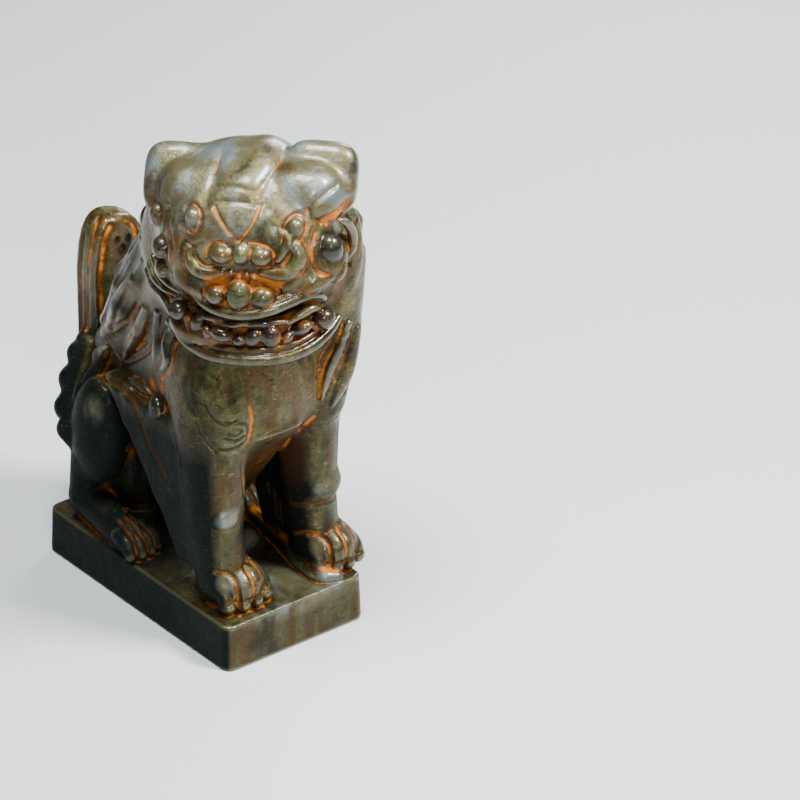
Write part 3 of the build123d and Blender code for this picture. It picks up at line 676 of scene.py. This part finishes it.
def rear_curls():
    for side in (-1, 1):
        spine = [(-30, 146, 222, 14), (-38, 145, 200, 15), (-48, 142, 178, 16), (-58, 134, 156, 16),
                 (-66, 120, 138, 14)]
        rope(smooth_path(mirrored(spine, side)), "tail", 5)
        for x, y, z, r in ((-38, 154, 208, 12), (-50, 151, 184, 13), (-62, 143, 160, 13),
                (-72, 127, 146, 12), (-24, 158, 178, 14), (-38, 156, 150, 14)):
            lump((-side * x, y, z), (r, r, r * 1.1), "tail", 4.5)
            turn = np.linspace(0, 5.0, 12)
            spiral = [(-side * (x - 2) + 0.72 * r * (1 - t / 7) * math.cos(t), y + 13,
                       z + 0.75 * r * (1 - t / 7) * math.sin(t)) for t in turn]
            line(spiral, 1.5, 2.4, 0.5, 3)


def hip_flap():
    for side in (-1, 1):
        leaf = [(-54, 79, 256, 2), (-55, 92, 242, 7), (-56, 110, 224, 10), (-60, 122, 206, 10),
                (-66, 122, 190, 6), (-70, 118, 180, 2)]
        strand(mirrored(leaf, side), "trunk", 1.5, 1.0)
        line(mirrored([(-58, 72, 250), (-62, 84, 234), (-66, 98, 214), (-72, 104, 194)], side), 2.0, 3.0,
             0.7)


# ---- mane
def right_locks():
    """The locks that hang at the lion's right, over the shoulder."""
    strand([(-76, -4, 369, 10), (-72, 16, 345, 14), (-66, 38, 315, 13), (-58, 66, 286, 11),
            (-49, 96, 256, 7), (-45, 112, 240, 3)], "mane", 3, -5)
    line([(-73, 0, 345), (-70, 14, 330), (-64, 42, 304), (-58, 62, 288)], 2.0, 3.2, 0.5)
    for path in ([(-84, 0, 420, 4), (-78, 24, 388, 7), (-70, 46, 352, 8), (-60, 70, 318, 7),
                  (-50, 96, 280, 5), (-46, 106, 262, 2)],
                 [(-70, 24, 420, 3), (-68, 46, 388, 6), (-60, 64, 354, 7), (-52, 84, 320, 6),
                  (-44, 102, 288, 3)], [(-86, -14, 400, 4), (-82, 4, 372, 7), (-76, 24, 342, 7),
            (-66, 46, 312, 6), (-58, 64, 292, 3)]):
        strand(path, "mane", 2.0, -2, polish=0.55)
        line([(x - 3, y - 4, z - 4) for x, y, z, _ in path[1:]], 1.8, 3.0, 0.6)
        # painted shade over the lock
        clay.dab(np.array(path[2][:3]) - (0, 0, 10), 28, 0.60, "dark")
    strand([(-71, -13, 345, 6), (-66, 4, 318, 9), (-58, 30, 285, 9), (-52, 54, 256, 5), (-50, 62, 246, 2)],
           "mane", 1.5, -2)
    line([(-70, -20, 335), (-63, -9, 306), (-57, 9, 280), (-52, 36, 258), (-50, 60, 243)], 1.8, 3.6, 1.0)
    line([(-70, 2, 330), (-65, 14, 306), (-56, 42, 274), (-50, 62, 248)], 1.5, 2.4, 0.8)
    line([(-69, -7, 326), (-61, 9, 299), (-54, 33, 272)], 1.4, 2.2, 1.0)
    strand([(-74, -34, 350, 5), (-69, -24, 326, 6.5), (-71, -26, 302, 6), (-67, -14, 276, 3)], "mane", 1.2,
           -1, polish=0.65)
    line([(-84, -50, 350), (-73, -38, 324), (-76, -42, 306), (-71, -24, 279)], 1.7, 3.2, 0.7)
    strand([(-84, -58, 352, 5), (-76, -48, 326, 6.5), (-79, -54, 306, 5), (-76, -40, 288, 2.5)], "mane",
           1.2, -1, polish=0.65)
    line([(-90, -66, 345), (-80, -62, 322), (-80, -58, 298), (-74, -34, 272)], 2.4, 3.6, 1.0)
    # painted shade on the mane at the lion's right
    clay.dab((-80, 10, 400), (34, 44, 46), 0.40, "dark")
    clay.dab((-76, -30, 330), (24, 34, 44), 0.36, "dark")


def left_locks():
    """The locks under the lion's left cheek, down to the breast."""
    line([(58, -152, 342), (54, -149, 320), (46, -143, 303), (41, -140, 281), (40, -138, 260)], 1.8, 3.6,
         1.0)
    line([(61, -153, 338), (58, -151, 313), (52, -146, 294), (47, -141, 268)], 1.6, 3.2, 1.0)
    line([(52, -148, 337), (47, -144, 320), (40, -140, 303), (38, -139, 284)], 1.5, 2.6, 0.7)
    strand([(64, -153, 342, 4), (58, -150, 322, 5), (51, -146, 300, 5), (45, -141, 276, 4),
            (42, -139, 258, 1.5)], "mane", 1.0, 0)
    strand([(76, -150, 330, 6), (70, -150, 304, 8), (64, -146, 278, 8), (57, -141, 255, 5),
            (54, -138, 243, 2)], "mane", 1.5, -2)
    line([(84, -140, 350), (84, -142, 315), (78, -140, 285), (68, -136, 258)], 2.0, 3.2, 0.8)


def back_mane():
    """Rows of curls round the back of the head, over long locks that lie on the neck and back."""
    rows = ((484, 5, 14, 0.0), (456, 6, 15, 0.5), (426, 6, 16, 0.0), (396, 6, 16, 0.5))
    for z, count, r, offset in rows:
        for i in range(count):
            angle = math.radians(26 + (118 / (count - 1)) * (i + offset * 0.5))
            x, y = -3 + 101 * math.cos(angle), 14 + 76 * math.sin(angle)
            in_x, in_y = (0.98, 1.0) if z < 480 else (0.85, 0.85)
            at = snap(to_head([(x * in_x, y * in_y, z)]))[0]
            out = at - to_head([(0, 0, z)])[0]
            out[2] = 0
            out /= np.linalg.norm(out)
            lump(at - 4 * out, (r, r, r), "mane", 1.2)
            across = np.array([-out[1], out[0], 0])
            turn = np.linspace(0, 6.5, 15)
            up = np.array([0, 0, 1.0])
            curl = [at + out * (r - 5)
                    + (r * 0.72 * (1 - t / 8)) * (math.cos(t) * across + math.sin(t) * up) for t in turn]
            line(curl, 1.6, 2.6, 0.6, 2)
    for i, (angle, drop, length) in enumerate(((20, 396, 120), (48, 392, 138), (76, 388, 150),
            (104, 386, 140), (132, 388, 112))):
        a = math.radians(angle)
        start = to_head([(-3 + 96 * math.cos(a), 14 + 72 * math.sin(a), drop)])[0]
        away = start - to_head([(0, 0, drop)])[0]
        path = []
        for t in np.linspace(0, 1, 6):
            sway = 7 * math.sin(5.5 * t + i)
            point = start + away * 0.10 * t + np.array([-away[1], away[0], 0]) / 100 * sway
            point[2] = drop - length * t
            path.append((*point, 15 - 12.5 * t ** 1.6))
        strand(path, "mane", 2.0, -3)
        for side in (-0.45, 0.45):
            across = np.array([-away[1], away[0], 0]) / 100
            mid = [np.array(q[:3]) + across * q[3] * side for q in path]
            line(mid, 1.6, 2.4, 0.6, 4)


# ---- trunk
def flanks():
    for side in (-1, 1):
        line(mirrored([(-56, 92, 216), (-72, 56, 232), (-76, 30, 238), (-78, 7, 234), (-80, -10, 216),
                       (-80, -24, 194), (-79, -47, 170)], side), 2.4, 2.2, 0.3)
        strand(mirrored([(-64, 34, 244, 2), (-65, 22, 245, 5), (-66, 6, 245, 6), (-66, -6, 243, 3)], side),
               "trunk", 1.0, 0)
    lump((-74, -27, 240), (7, 9, 13), "trunk", 1.0)
    for at, radius in (((-68, -12, 256), 8), ((-76, -40, 272), 8), ((-74, -34, 262), 7)):
        clay.dab(at, radius, 0.7)
    clay.dab((-74, -27, 240), (12, 13, 18), 0.9, "gloss")
    for side in (-1, 1):
        # painted highlights on the top of each haunch and on the sides of the tail
        clay.dab((side * 82, 70, 196), (10, 16, 22), 0.5, "painted_highlight")
        clay.dab((side * 33, 148, 290), (8, 10, 46), 0.8, "painted_highlight")
        # painted shade on the haunches and low between the legs
        clay.dab((side * 72, 84, 150), (46, 62, 90), 1.0, "dark")
        clay.dab((side * 60, 20, 90), (60, 60, 60), 1.0, "dark")


def chest():
    line([(-44, -140, 280), (-41, -143, 262), (-45, -132, 238)], 2.6, 2.0, 0.8)
    line([(-45, -132, 232), (-43, -124, 202), (-40, -118, 175)], 2.6, 2.4, 0.6)
    line([(39, -130, 236), (32, -116, 220)], 3.4, 1.8, 0.7)
    line([(28, -108, 206), (34, -76, 165)], 2.4, 2.0, 0.45)
    # the swirls on the breast, with painted shade in their lines
    line([(-81, -116, 286), (-79, -124, 275), (-71, -132, 267), (-59, -138, 268), (-47, -140, 261),
          (-45, -137, 246), (-57, -135, 240), (-73, -129, 240), (-82, -122, 252)], 1.6, 2.8, 0.0, dark=0.9)
    line([(-70, -133, 271), (-63, -136, 268), (-58, -137, 271)], 1.4, 2.0, 0.0, dark=0.9)
    line([(-70, -133, 253), (-60, -137, 248), (-50, -138, 250)], 1.5, 2.4, 0.0, dark=0.9)
    line([(-62, -136, 262), (-54, -138, 258), (-60, -137, 254), (-68, -134, 258)], 1.3, 2.0, 0.0, dark=0.8)
    line([(-86, -104, 280), (-87, -110, 268), (-86, -117, 253), (-77, -126, 238)], 1.6, 2.0, 0.0, dark=0.7)
    # a faint line of painted shade
    line([(-10, -142, 330), (-30, -140, 318), (-20, -142, 305)], 1.4, 1.0, 0.0, dark=0.4)
    lump((-62, -121, 155), (12, 8, 10), "right_foreleg", 4, power=2.6)
    # painted highlight on the bump
    clay.dab((-62, -127, 155), (13, 10, 11), 1.0, "painted_highlight")
    clay.dab((0, -96, 195), (34, 52, 54), 0.30)
    # painted highlight on the plinth in front of the forefeet
    clay.dab((10, -125, 50), (64, 44, 16), 1.0, "painted_highlight")
    # painted shade under the breast, between the forelegs
    clay.dab((20, -80, 170), 45, 0.42, "dark")


# ---- feet
def paw_grooves():
    for side in (-1, 1):
        px = side * LEG_X + 13
        for k in (-1, 0, 1):
            x = px + k * 14.3
            path = [(x - 8 * (k < 0), -112, 95), (x - 3 * (k < 0), -122, 93), (x, -131, 84),
                    (x + k, -136, 66), (x + k, -137, 52)]
            line(path, 2.0, 4.2, 1.0)
        for k in (-1.5, -0.5, 0.5, 1.5):
            x = px + k * 15
            tip = -145 + 5 * abs(k)
            line([(x - 6, tip + 4, 64), (x, tip, 66), (x + 6, tip + 4, 64)], 1.2, 1.6, 0.2)
            # painted highlight on the top of each toe
            clay.dab((x - 1, tip + 12, 82), (6, 14, 10), 0.75, "painted_highlight")
    for side in (-1, 1):
        hx = side * 67
        for k in (-1, 0, 1):
            line([(hx + k * 9, 40, 84), (hx + k * 9.2, 20, 74), (hx + k * 9.6, 8, 62),
                  (hx + k * 10, 6, 52)], 1.8, 3.0, 0.6)


def knees():
    lump((54, -117, 149), (13, 10, 12), "left_foreleg", 8)
    lump((69, -115, 147), (12, 10, 12), "left_foreleg", 8)
    # painted highlights on the knees
    clay.dab((54, -127, 152), (11, 8, 9), 0.8, "painted_highlight")
    clay.dab((70, -124, 150), (9, 8, 9), 0.8, "painted_highlight")
    line([(30, -104, 128), (40, -120, 131), (55, -125, 131), (76, -116, 127)], 2.2, 3.0, 0.4)
    line([(35, -103, 92), (42, -117, 99), (53, -124, 96), (64, -125, 98)], 1.8, 2.0, 0.6)


def rim_of_ground():
    """The raised strip of ground on the plinth, inside the left forefoot."""
    path = [(66, 8, 52, 8), (58, -48, 53, 9), (47, -100, 53, 9.5), (46, -130, 52, 9), (58, -140, 51, 7)]
    clay.add(clay.tube(smooth_path(path, 6), flat=((0, 0, 1.0), 0.9)), "plinth", 2)
    # painted shade along the side of the strip that faces the middle
    line([(x - r + 1, y, z + 5) for x, y, z, r in path[:4]], 1.8, 2.4, 0.0, dark=1.0)
    line([(x - r + 5, y, z + 9) for x, y, z, r in path[:4]], 1.6, 2.0, 0.6)
    clay.groove(smooth_path([(x - 1, y, z + r) for x, y, z, r in path], 6), 5.0, 0.0, 0.7)
    # painted shade on the web behind the left foreleg
    for y, z in ((-90, 80), (-60, 90), (-40, 110), (-60, 130), (-84, 130), (-30, 140)):
        clay.dab((53, y, z), 26, 1.0, "dark")
    for y, z, drop in ((-32, 138, 40), (-42, 132, 46), (-52, 124, 42), (-62, 120, 44), (-72, 114, 40)):
        line([(53, y, z), (53, y - 4, z - drop * 0.5), (53, y + 3, z - drop)], 2.0, 3.0, 0.35)


def sculpt():
    """All the forms in order, because a later mark lies on the forms before it."""
    plinth()
    trunk()
    both(foreleg)
    ground_web()
    both(hind_leg)
    for form in (tail, mane, head, jaw, forehead, eyes, nose, lip, mouth, cheek, side_curls,
                 tail_grooves, rear_curls, hip_flap, right_locks, left_locks, back_mane,
                 flanks, chest, paw_grooves, knees, rim_of_ground):
        form()


# ---- casting: the sculpted block becomes one mesh for each casting
JOINT_BLUR = 1.6  # in cells: evens out the border between two castings
JOINT_SLOPE, JOINT_GAP = 0.16, 0.8  # turn the blurred share into a distance, set back for a hairline joint


def blurred(values, cells):
    """A soft average over a cube of cells, made in two passes."""
    r = max(1, int(round(cells)))
    for axis in range(3):
        for _ in range(2):
            pad = [(r + 1, r) if i == axis else (0, 0) for i in range(3)]
            total = np.cumsum(np.pad(values, pad, mode="edge"), axis=axis, dtype=np.float64)
            n = values.shape[axis]
            high = np.take(total, range(2 * r + 1, 2 * r + 1 + n), axis=axis)
            low = np.take(total, range(0, n), axis=axis)
            values = ((high - low) / (2 * r + 1)).astype(np.float32)
    return values


def put(mesh, name, values):
    """Stores one value for each point of the mesh, for the material to read."""
    layer = mesh.attributes.new(name, "FLOAT", "POINT")
    layer.data.foreach_set("value", np.asarray(values, np.float32))


def cast_piece(name, field, low, extras):
    """A mesh of the surface where the field is zero, carrying the extra values at its points."""
    grid = openvdb.FloatGrid(4 * STEP)
    clipped = np.clip(field, -4 * STEP, 4 * STEP).astype(np.float64)
    grid.copyFromArray(np.ascontiguousarray(clipped), tolerance=1e-4)
    grid.transform = openvdb.createLinearTransform(voxelSize=STEP)
    points, quads = grid.convertToQuads(0.0)
    points = np.asarray(points, float) + low
    quads = np.asarray(quads, np.int32)[:, ::-1]
    mesh = bpy.data.meshes.new(name + "_casting")
    mesh.vertices.add(len(points))
    mesh.vertices.foreach_set("co", (points / MM_PER_METRE).astype(np.float32).ravel())
    mesh.loops.add(len(quads) * 4)
    mesh.loops.foreach_set("vertex_index", quads.ravel())
    mesh.polygons.add(len(quads))
    mesh.polygons.foreach_set("loop_start", np.arange(0, len(quads) * 4, 4, dtype=np.int32))
    mesh.polygons.foreach_set("loop_total", np.full(len(quads), 4, np.int32))
    mesh.polygons.foreach_set("use_smooth", np.ones(len(quads), bool))
    mesh.update(calc_edges=True)
    mesh.validate()
    for label, values in extras.items():
        put(mesh, label, clay.sample(values, points))
    piece = bpy.data.objects.new(name + "_casting", mesh)
    bpy.context.scene.collection.objects.link(piece)
    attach(piece, "root")
    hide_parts(name)
    return piece


def cast_all(material):
    """Parts the clay into the castings, with a fine joint line between neighbours."""
    solid = np.clip(0.5 - clay.field / (2 * STEP), 0, 1).astype(np.float32)
    extras = {
        "hollow_fine": blurred(solid, 2.6 / STEP),
        "hollow_broad": blurred(blurred(solid, 6.0 / STEP), 6.0 / STEP),
        "rust": clay.rust,
        "dark": clay.dark,
        "gloss": clay.gloss,
        "painted_highlight": clay.painted_highlight,
    }
    del solid
    hollow_under_plinth()
    for index, name in enumerate(CASTINGS):
        mine = clay.owner == index
        where = np.argwhere(mine & (clay.field < 3 * STEP))
        a = np.maximum(where.min(0) - 4, 0)
        b = np.minimum(where.max(0) + 5, clay.count)
        part = tuple(slice(i, j) for i, j in zip(a, b))
        share = blurred(mine[part].astype(np.float32), JOINT_BLUR)
        edge = np.clip((0.5 - share) / JOINT_SLOPE - JOINT_GAP, -4, 4) * STEP
        field = np.maximum(clay.field[part], edge)
        low = clay.low + STEP * a
        piece = cast_piece(name, field, low, extras)
        piece.data.materials.append(material)


def hollow_under_plinth():
    """The two bays under the plinth, with the rib between them and the rim round them."""
    for y0, y1 in ((-BAY_END, -RIB_HALF), (RIB_HALF, BAY_END)):
        part, x, y, z = clay.window((-BAY_HALF_WIDTH, y0, -20), (BAY_HALF_WIDTH, y1, BAY_ROOF))
        p = np.maximum(np.abs(x) - BAY_HALF_WIDTH, np.abs(y - (y0 + y1) / 2) - (y1 - y0) / 2)
        d = np.maximum(p, z - BAY_ROOF)
        np.maximum(clay.field[part], -d, out=clay.field[part])


# ---- materials
class Nodes:
    """A small helper that adds linked shader nodes."""

    def __init__(self, name):
        self.material = bpy.data.materials.new(name)
        self.material.use_nodes = True
        self.tree = self.material.node_tree
        self.shader = self.tree.nodes["Principled BSDF"]

    def add(self, kind, inputs=None, **settings):
        node = self.tree.nodes.new("ShaderNode" + kind)
        for key, value in settings.items():
            setattr(node, key, value)
        for key, value in (inputs or {}).items():
            self.join(value, node.inputs[key])
        return node

    def join(self, value, socket):
        if isinstance(value, bpy.types.NodeSocket):
            self.tree.links.new(value, socket)
        else:
            socket.default_value = value

    def to_shader(self, name, value):
        self.join(value, self.shader.inputs[name])

    def attribute(self, name):
        return self.add("Attribute", attribute_name=name).outputs["Fac"]

    def noise(self, scale, detail, rough, distortion=0.0, stretch=(1, 1, 1)):
        position = self.add("NewGeometry").outputs["Position"]
        at = self.add("Mapping", {"Vector": position, "Scale": stretch}).outputs["Vector"]
        inputs = {"Vector": at, "Scale": scale, "Detail": detail, "Roughness": rough,
                  "Distortion": distortion}
        return self.add("TexNoise", inputs).outputs["Fac"]

    def ramp(self, value, low, high, out_low=0.0, out_high=1.0):
        inputs = {"Value": value, "From Min": low, "From Max": high, "To Min": out_low, "To Max": out_high}
        return self.add("MapRange", inputs, clamp=True).outputs["Result"]

    def math(self, operation, a, b=0.0, clamp=False):
        return self.add("Math", {0: a, 1: b}, operation=operation, use_clamp=clamp).outputs[0]

    def plus(self, a, b):
        return self.math("ADD", a, b)

    def times(self, a, b):
        return self.math("MULTIPLY", a, b)

    def larger(self, a, b):
        return self.math("MAXIMUM", a, b)

    def mix(self, factor, a, b):
        node = self.add("Mix", data_type="RGBA")
        self.join(factor, node.inputs[0])
        self.join(a, node.inputs[6])
        self.join(b, node.inputs[7])
        return node.outputs[2]


OLIVE = (0.050, 0.048, 0.016, 1)
OLIVE_LIGHT = (0.128, 0.119, 0.046, 1)
SHADOW = (0.014, 0.013, 0.004, 1)
WORN_AND_HIGHLIGHT = (0.155, 0.142, 0.075, 1)
# the grey and the bluish grey of the painted highlight
HIGHLIGHT_GREY = (0.125, 0.112, 0.058, 1)
HIGHLIGHT_BLUE = (0.165, 0.195, 0.205, 1)
BLUE_BLACK = (0.0030, 0.0062, 0.0064, 1)
BROWN = (0.075, 0.034, 0.0045, 1)
RED_BROWN = (0.090, 0.030, 0.005, 1)
RUST = (0.40, 0.125, 0.012, 1)
RUST_DARK = (0.090, 0.021, 0.0015, 1)
GOLD = (0.42, 0.27, 0.075, 1)


def patina():
    """Waxed bronze, with rust in the hollows and gold where rubbed; a painted highlight makes the crown
    lighter, and painted shade darkens the flanks, the edges of the hollows and everything towards the
    bottom.
    """
    n = Nodes("patinated_bronze")
    fine, broad = n.attribute("hollow_fine"), n.attribute("hollow_broad")
    rust, dark, gloss, painted_highlight = (n.attribute(name) for name in ("rust", "dark", "gloss", "painted_highlight"))
    geometry = n.add("NewGeometry")
    height_of = n.add("SeparateXYZ", {"Vector": geometry.outputs["Position"]}).outputs["Z"]
    facing = n.add("SeparateXYZ", {"Vector": geometry.outputs["Normal"]}).outputs["X"]
    cloud = n.noise(15, 5, 0.6, 0.4)
    mottle = n.noise(60, 6, 0.62, 0.3)
    grain = n.noise(260, 3, 0.6)
    streak = n.noise(48, 4, 0.6, 0.5, (1, 1, 0.25))
    base = n.mix(n.ramp(mottle, 0.38, 0.66), OLIVE, OLIVE_LIGHT)
    base = n.mix(n.ramp(streak, 0.46, 0.57, 0.0, 0.9), base, BROWN)
    base = n.mix(n.ramp(n.noise(110, 6, 0.7, 1.2, (1, 1, 2)), 0.54, 0.63, 0.0, 0.8), base, BLUE_BLACK)
    base = n.mix(n.ramp(cloud, 0.46, 0.34, 0.0, 0.8), base, BLUE_BLACK)
    # painted shade: the colour grows darker towards the bottom
    base = n.mix(n.ramp(height_of, 0.34, 0.20, 0.0, 0.55), base, SHADOW)
    # painted highlight: the crown, and the patches marked for a highlight, are painted a lighter grey and
    # bluish grey, standing for the reflection of the light from above
    highlight_amount = n.larger(n.ramp(height_of, 0.455, 0.515), n.ramp(painted_highlight, 0.15, 0.75))
    highlight_amount = n.times(highlight_amount, n.ramp(cloud, 0.38, 0.54, 0.10, 0.85))
    # painted shade: below the breast, surfaces that face sideways, and the patches marked for shade, are
    # painted nearly black; they also get little shine
    side = n.times(n.ramp(n.math("ABSOLUTE", facing), 0.45, 0.75), n.ramp(height_of, 0.310, 0.215))
    matt_and_shade = n.larger(n.ramp(n.plus(dark, n.times(mottle, 0.3)), 0.25, 0.75), side)
    base = n.mix(n.times(matt_and_shade, 0.93), base, BLUE_BLACK)
    base = n.mix(n.ramp(rust, 0.04, 0.25, 0.0, 0.75), base, RED_BROWN)
    patches = n.noise(30, 5, 0.62, 0.6)
    # the painted highlight laid over the colour
    base = n.mix(highlight_amount, base, n.mix(n.ramp(patches, 0.48, 0.62), HIGHLIGHT_GREY, HIGHLIGHT_BLUE))
    # ridges are rubbed lighter, partly wear and partly a painted highlight; the edges of hollows get
    # painted shade, nearly black
    base = n.mix(n.ramp(fine, 0.42, 0.32, 0.0, 0.35), base, WORN_AND_HIGHLIGHT)
    base = n.mix(n.ramp(fine, 0.53, 0.61, 0.0, 0.85), base, BLUE_BLACK)
    # rust lies in the hollows and along the pressed lines, but not on polished lumps
    hollow = n.ramp(n.plus(fine, n.times(mottle, 0.12)), 0.63, 0.73)
    deep = n.ramp(n.plus(broad, n.times(cloud, 0.12)), 0.70, 0.84)
    line = n.ramp(n.plus(rust, n.times(n.math("SUBTRACT", mottle, 0.5), 0.7)), 0.30, 0.55)
    rusty = n.larger(n.times(hollow, 0.75), line)
    polished = n.ramp(gloss, 0.25, 0.65)
    rusty = n.times(rusty, n.math("SUBTRACT", 1.0, polished))
    rusty = n.times(rusty, n.ramp(matt_and_shade, 0.2, 1.0, 1.0, 0.35))
    rust_colour = n.mix(n.ramp(mottle, 0.36, 0.55), RUST_DARK, RUST)
    base = n.mix(n.times(deep, 0.8), base, RUST_DARK)
    base = n.mix(n.times(polished, 0.85), base, BLUE_BLACK)
    base = n.mix(rusty, base, rust_colour)
    # rubbed specks and scratches
    scratch = n.noise(80, 9, 0.8, 1.6, (1, 1, 1.7))
    rubbed = n.times(n.ramp(scratch, 0.570, 0.635), n.ramp(cloud, 0.34, 0.50))
    rubbed = n.times(rubbed, n.ramp(matt_and_shade, 0.0, 1.0, 0.5, 0.08))
    rubbed = n.times(rubbed, n.ramp(height_of, 0.40, 0.34, 0.25, 1.0))
    rubbed = n.times(rubbed, n.ramp(height_of, 0.048, 0.060, 0.25, 1.0))
    base = n.mix(rubbed, base, GOLD)
    n.to_shader("Base Color", base)
    n.to_shader("Metallic", n.times(n.math("SUBTRACT", 1.0, rusty), n.ramp(matt_and_shade, 0.0, 1.0, 0.55, 0.1)))
    rough = n.ramp(mottle, 0.30, 0.70, 0.26, 0.48)
    rough = n.math("ADD", rough, n.times(rusty, 0.15), clamp=True)
    n.to_shader("Roughness", rough)
    n.to_shader("Specular IOR Level", n.ramp(matt_and_shade, 0.0, 1.0, 0.16, 0.015))
    ridge = n.ramp(fine, 0.47, 0.38, 0.0, 1.0)
    wax = n.times(n.ramp(cloud, 0.40, 0.60, 0.15, 0.60), n.ramp(height_of, 0.30, 0.36, 0.25, 1.0))
    wax = n.larger(wax, n.larger(n.times(polished, 0.75), n.times(highlight_amount, 0.45)))
    wax = n.larger(wax, ridge)
    wax = n.times(wax, n.ramp(rusty, 0.0, 1.0, 1.0, 0.25))
    n.to_shader("Coat Weight", n.times(wax, n.ramp(matt_and_shade, 0.0, 1.0, 1.0, 0.06)))
    n.to_shader("Coat Roughness", 0.07)
    n.to_shader("Coat IOR", 1.55)
    height = n.plus(mottle, n.times(grain, 0.3))
    height = n.plus(height, n.times(scratch, 0.5))
    bump = n.add("Bump", {"Height": height, "Strength": 0.6, "Distance": 0.0018})
    n.to_shader("Normal", bump.outputs["Normal"])
    ripple = n.add("Bump", {"Height": mottle, "Strength": 0.35, "Distance": 0.0014})
    n.to_shader("Coat Normal", ripple.outputs["Normal"])
    return n.material


def bare_bronze():
    """Turned bronze for the studs, bolts, pins and nuts."""
    n = Nodes("bare_bronze")
    turned = n.noise(320, 3, 0.5, 0.0, (1, 1, 6))
    tarnish = n.noise(60, 4, 0.6)
    colour = n.mix(n.ramp(tarnish, 0.35, 0.7), (0.42, 0.27, 0.10, 1), (0.16, 0.10, 0.045, 1))
    n.to_shader("Base Color", colour)
    n.to_shader("Metallic", 1.0)
    n.to_shader("Roughness", n.ramp(turned, 0.3, 0.7, 0.28, 0.5))
    bump = n.add("Bump", {"Height": turned, "Strength": 0.2, "Distance": 0.0004})
    n.to_shader("Normal", bump.outputs["Normal"])
    return n.material


# ---- the studio
def stage():
    """A light grey, rough floor, which is not a part of the object."""
    bpy.ops.mesh.primitive_plane_add(size=30, location=(0, 0, 0))
    floor = bpy.context.object
    floor.name = "floor"
    m = bpy.data.materials.new("floor")
    m.use_nodes = True
    b = m.node_tree.nodes["Principled BSDF"]
    b.inputs["Base Color"].default_value = (0.56, 0.56, 0.55, 1)
    b.inputs["Roughness"].default_value = 0.9
    floor.data.materials.append(m)


def camera():
    """The photograph's view, from above and from the object's front at the lion's right."""
    azimuth, elevation = math.radians(-38.35), math.radians(30)
    back = np.array([math.sin(azimuth) * math.cos(elevation), -math.cos(azimuth) * math.cos(elevation),
                     math.sin(elevation)])
    right = np.array([math.cos(azimuth), math.sin(azimuth), 0])
    up = np.cross(back, right)
    # the picture's middle lies to the right of the object, which is the left one of the pair
    target = right * 0.195 + up * 0.182
    distance, seen = 6.0, 0.8  # metres: how far off the camera is, and the width that it takes in there
    cam = bpy.data.objects.new("camera", bpy.data.cameras.new("camera"))
    bpy.context.scene.collection.objects.link(cam)
    cam.data.sensor_width = 36
    cam.data.lens = cam.data.sensor_width * distance / seen
    cam.location = target + back * distance
    cam.rotation_mode = "QUATERNION"
    cam.rotation_quaternion = Vector(back).to_track_quat("Z", "Y")
    cam.data.clip_end = 50
    bpy.context.scene.camera = cam


def area(name, at, aim, size, power, colour):
    """A rectangular light, aimed at a point."""
    light = bpy.data.objects.new(name, bpy.data.lights.new(name, "AREA"))
    light.data.shape = "RECTANGLE"
    light.data.size, light.data.size_y = size
    light.data.energy = power
    light.data.color = colour
    light.location = at
    light.rotation_mode = "QUATERNION"
    light.rotation_quaternion = (Vector(at) - Vector(aim)).to_track_quat("Z", "Y")
    bpy.context.scene.collection.objects.link(light)


def studio_world():
    """White behind the object, and a dim cool surround for everything that the object reflects."""
    world = bpy.data.worlds.new("studio")
    world.use_nodes = True
    tree = world.node_tree
    seen = tree.nodes["Background"]
    seen.inputs["Color"].default_value = (1, 1, 1, 1)
    seen.inputs["Strength"].default_value = 1.0
    surround = tree.nodes.new("ShaderNodeBackground")
    surround.inputs["Color"].default_value = (0.75, 0.85, 1.0, 1)
    surround.inputs["Strength"].default_value = 0.12
    path = tree.nodes.new("ShaderNodeLightPath")
    mix = tree.nodes.new("ShaderNodeMixShader")
    tree.links.new(path.outputs["Is Camera Ray"], mix.inputs[0])
    tree.links.new(surround.outputs[0], mix.inputs[1])
    tree.links.new(seen.outputs[0], mix.inputs[2])
    tree.links.new(mix.outputs[0], tree.nodes["World Output"].inputs["Surface"])
    bpy.context.scene.world = world


# ---- everything above, put to work
sculpt()
cast_all(patina())
fasteners = bare_bronze()
for name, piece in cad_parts.items():
    if name not in CASTINGS:
        for slot in piece.material_slots:
            slot.material = fasteners
stage()
camera()
studio_world()
area("key", (0.75, -1.35, 2.35), (0, -0.05, 0.3), (0.7, 0.7), 185, (0.98, 1.0, 0.94))
area("overhead", (-0.5, -0.3, 2.4), (0, -0.05, 0.4), (0.7, 0.7), 95, (0.88, 0.94, 1.0))
area("window", (-1.3, -2.1, 1.5), (0, -0.05, 0.3), (0.3, 0.6), 30, (0.88, 0.94, 1.0))
area("rim", (1.6, 0.9, 1.2), (0, 0, 0.3), (0.5, 0.9), 30, (0.9, 0.95, 1.0))
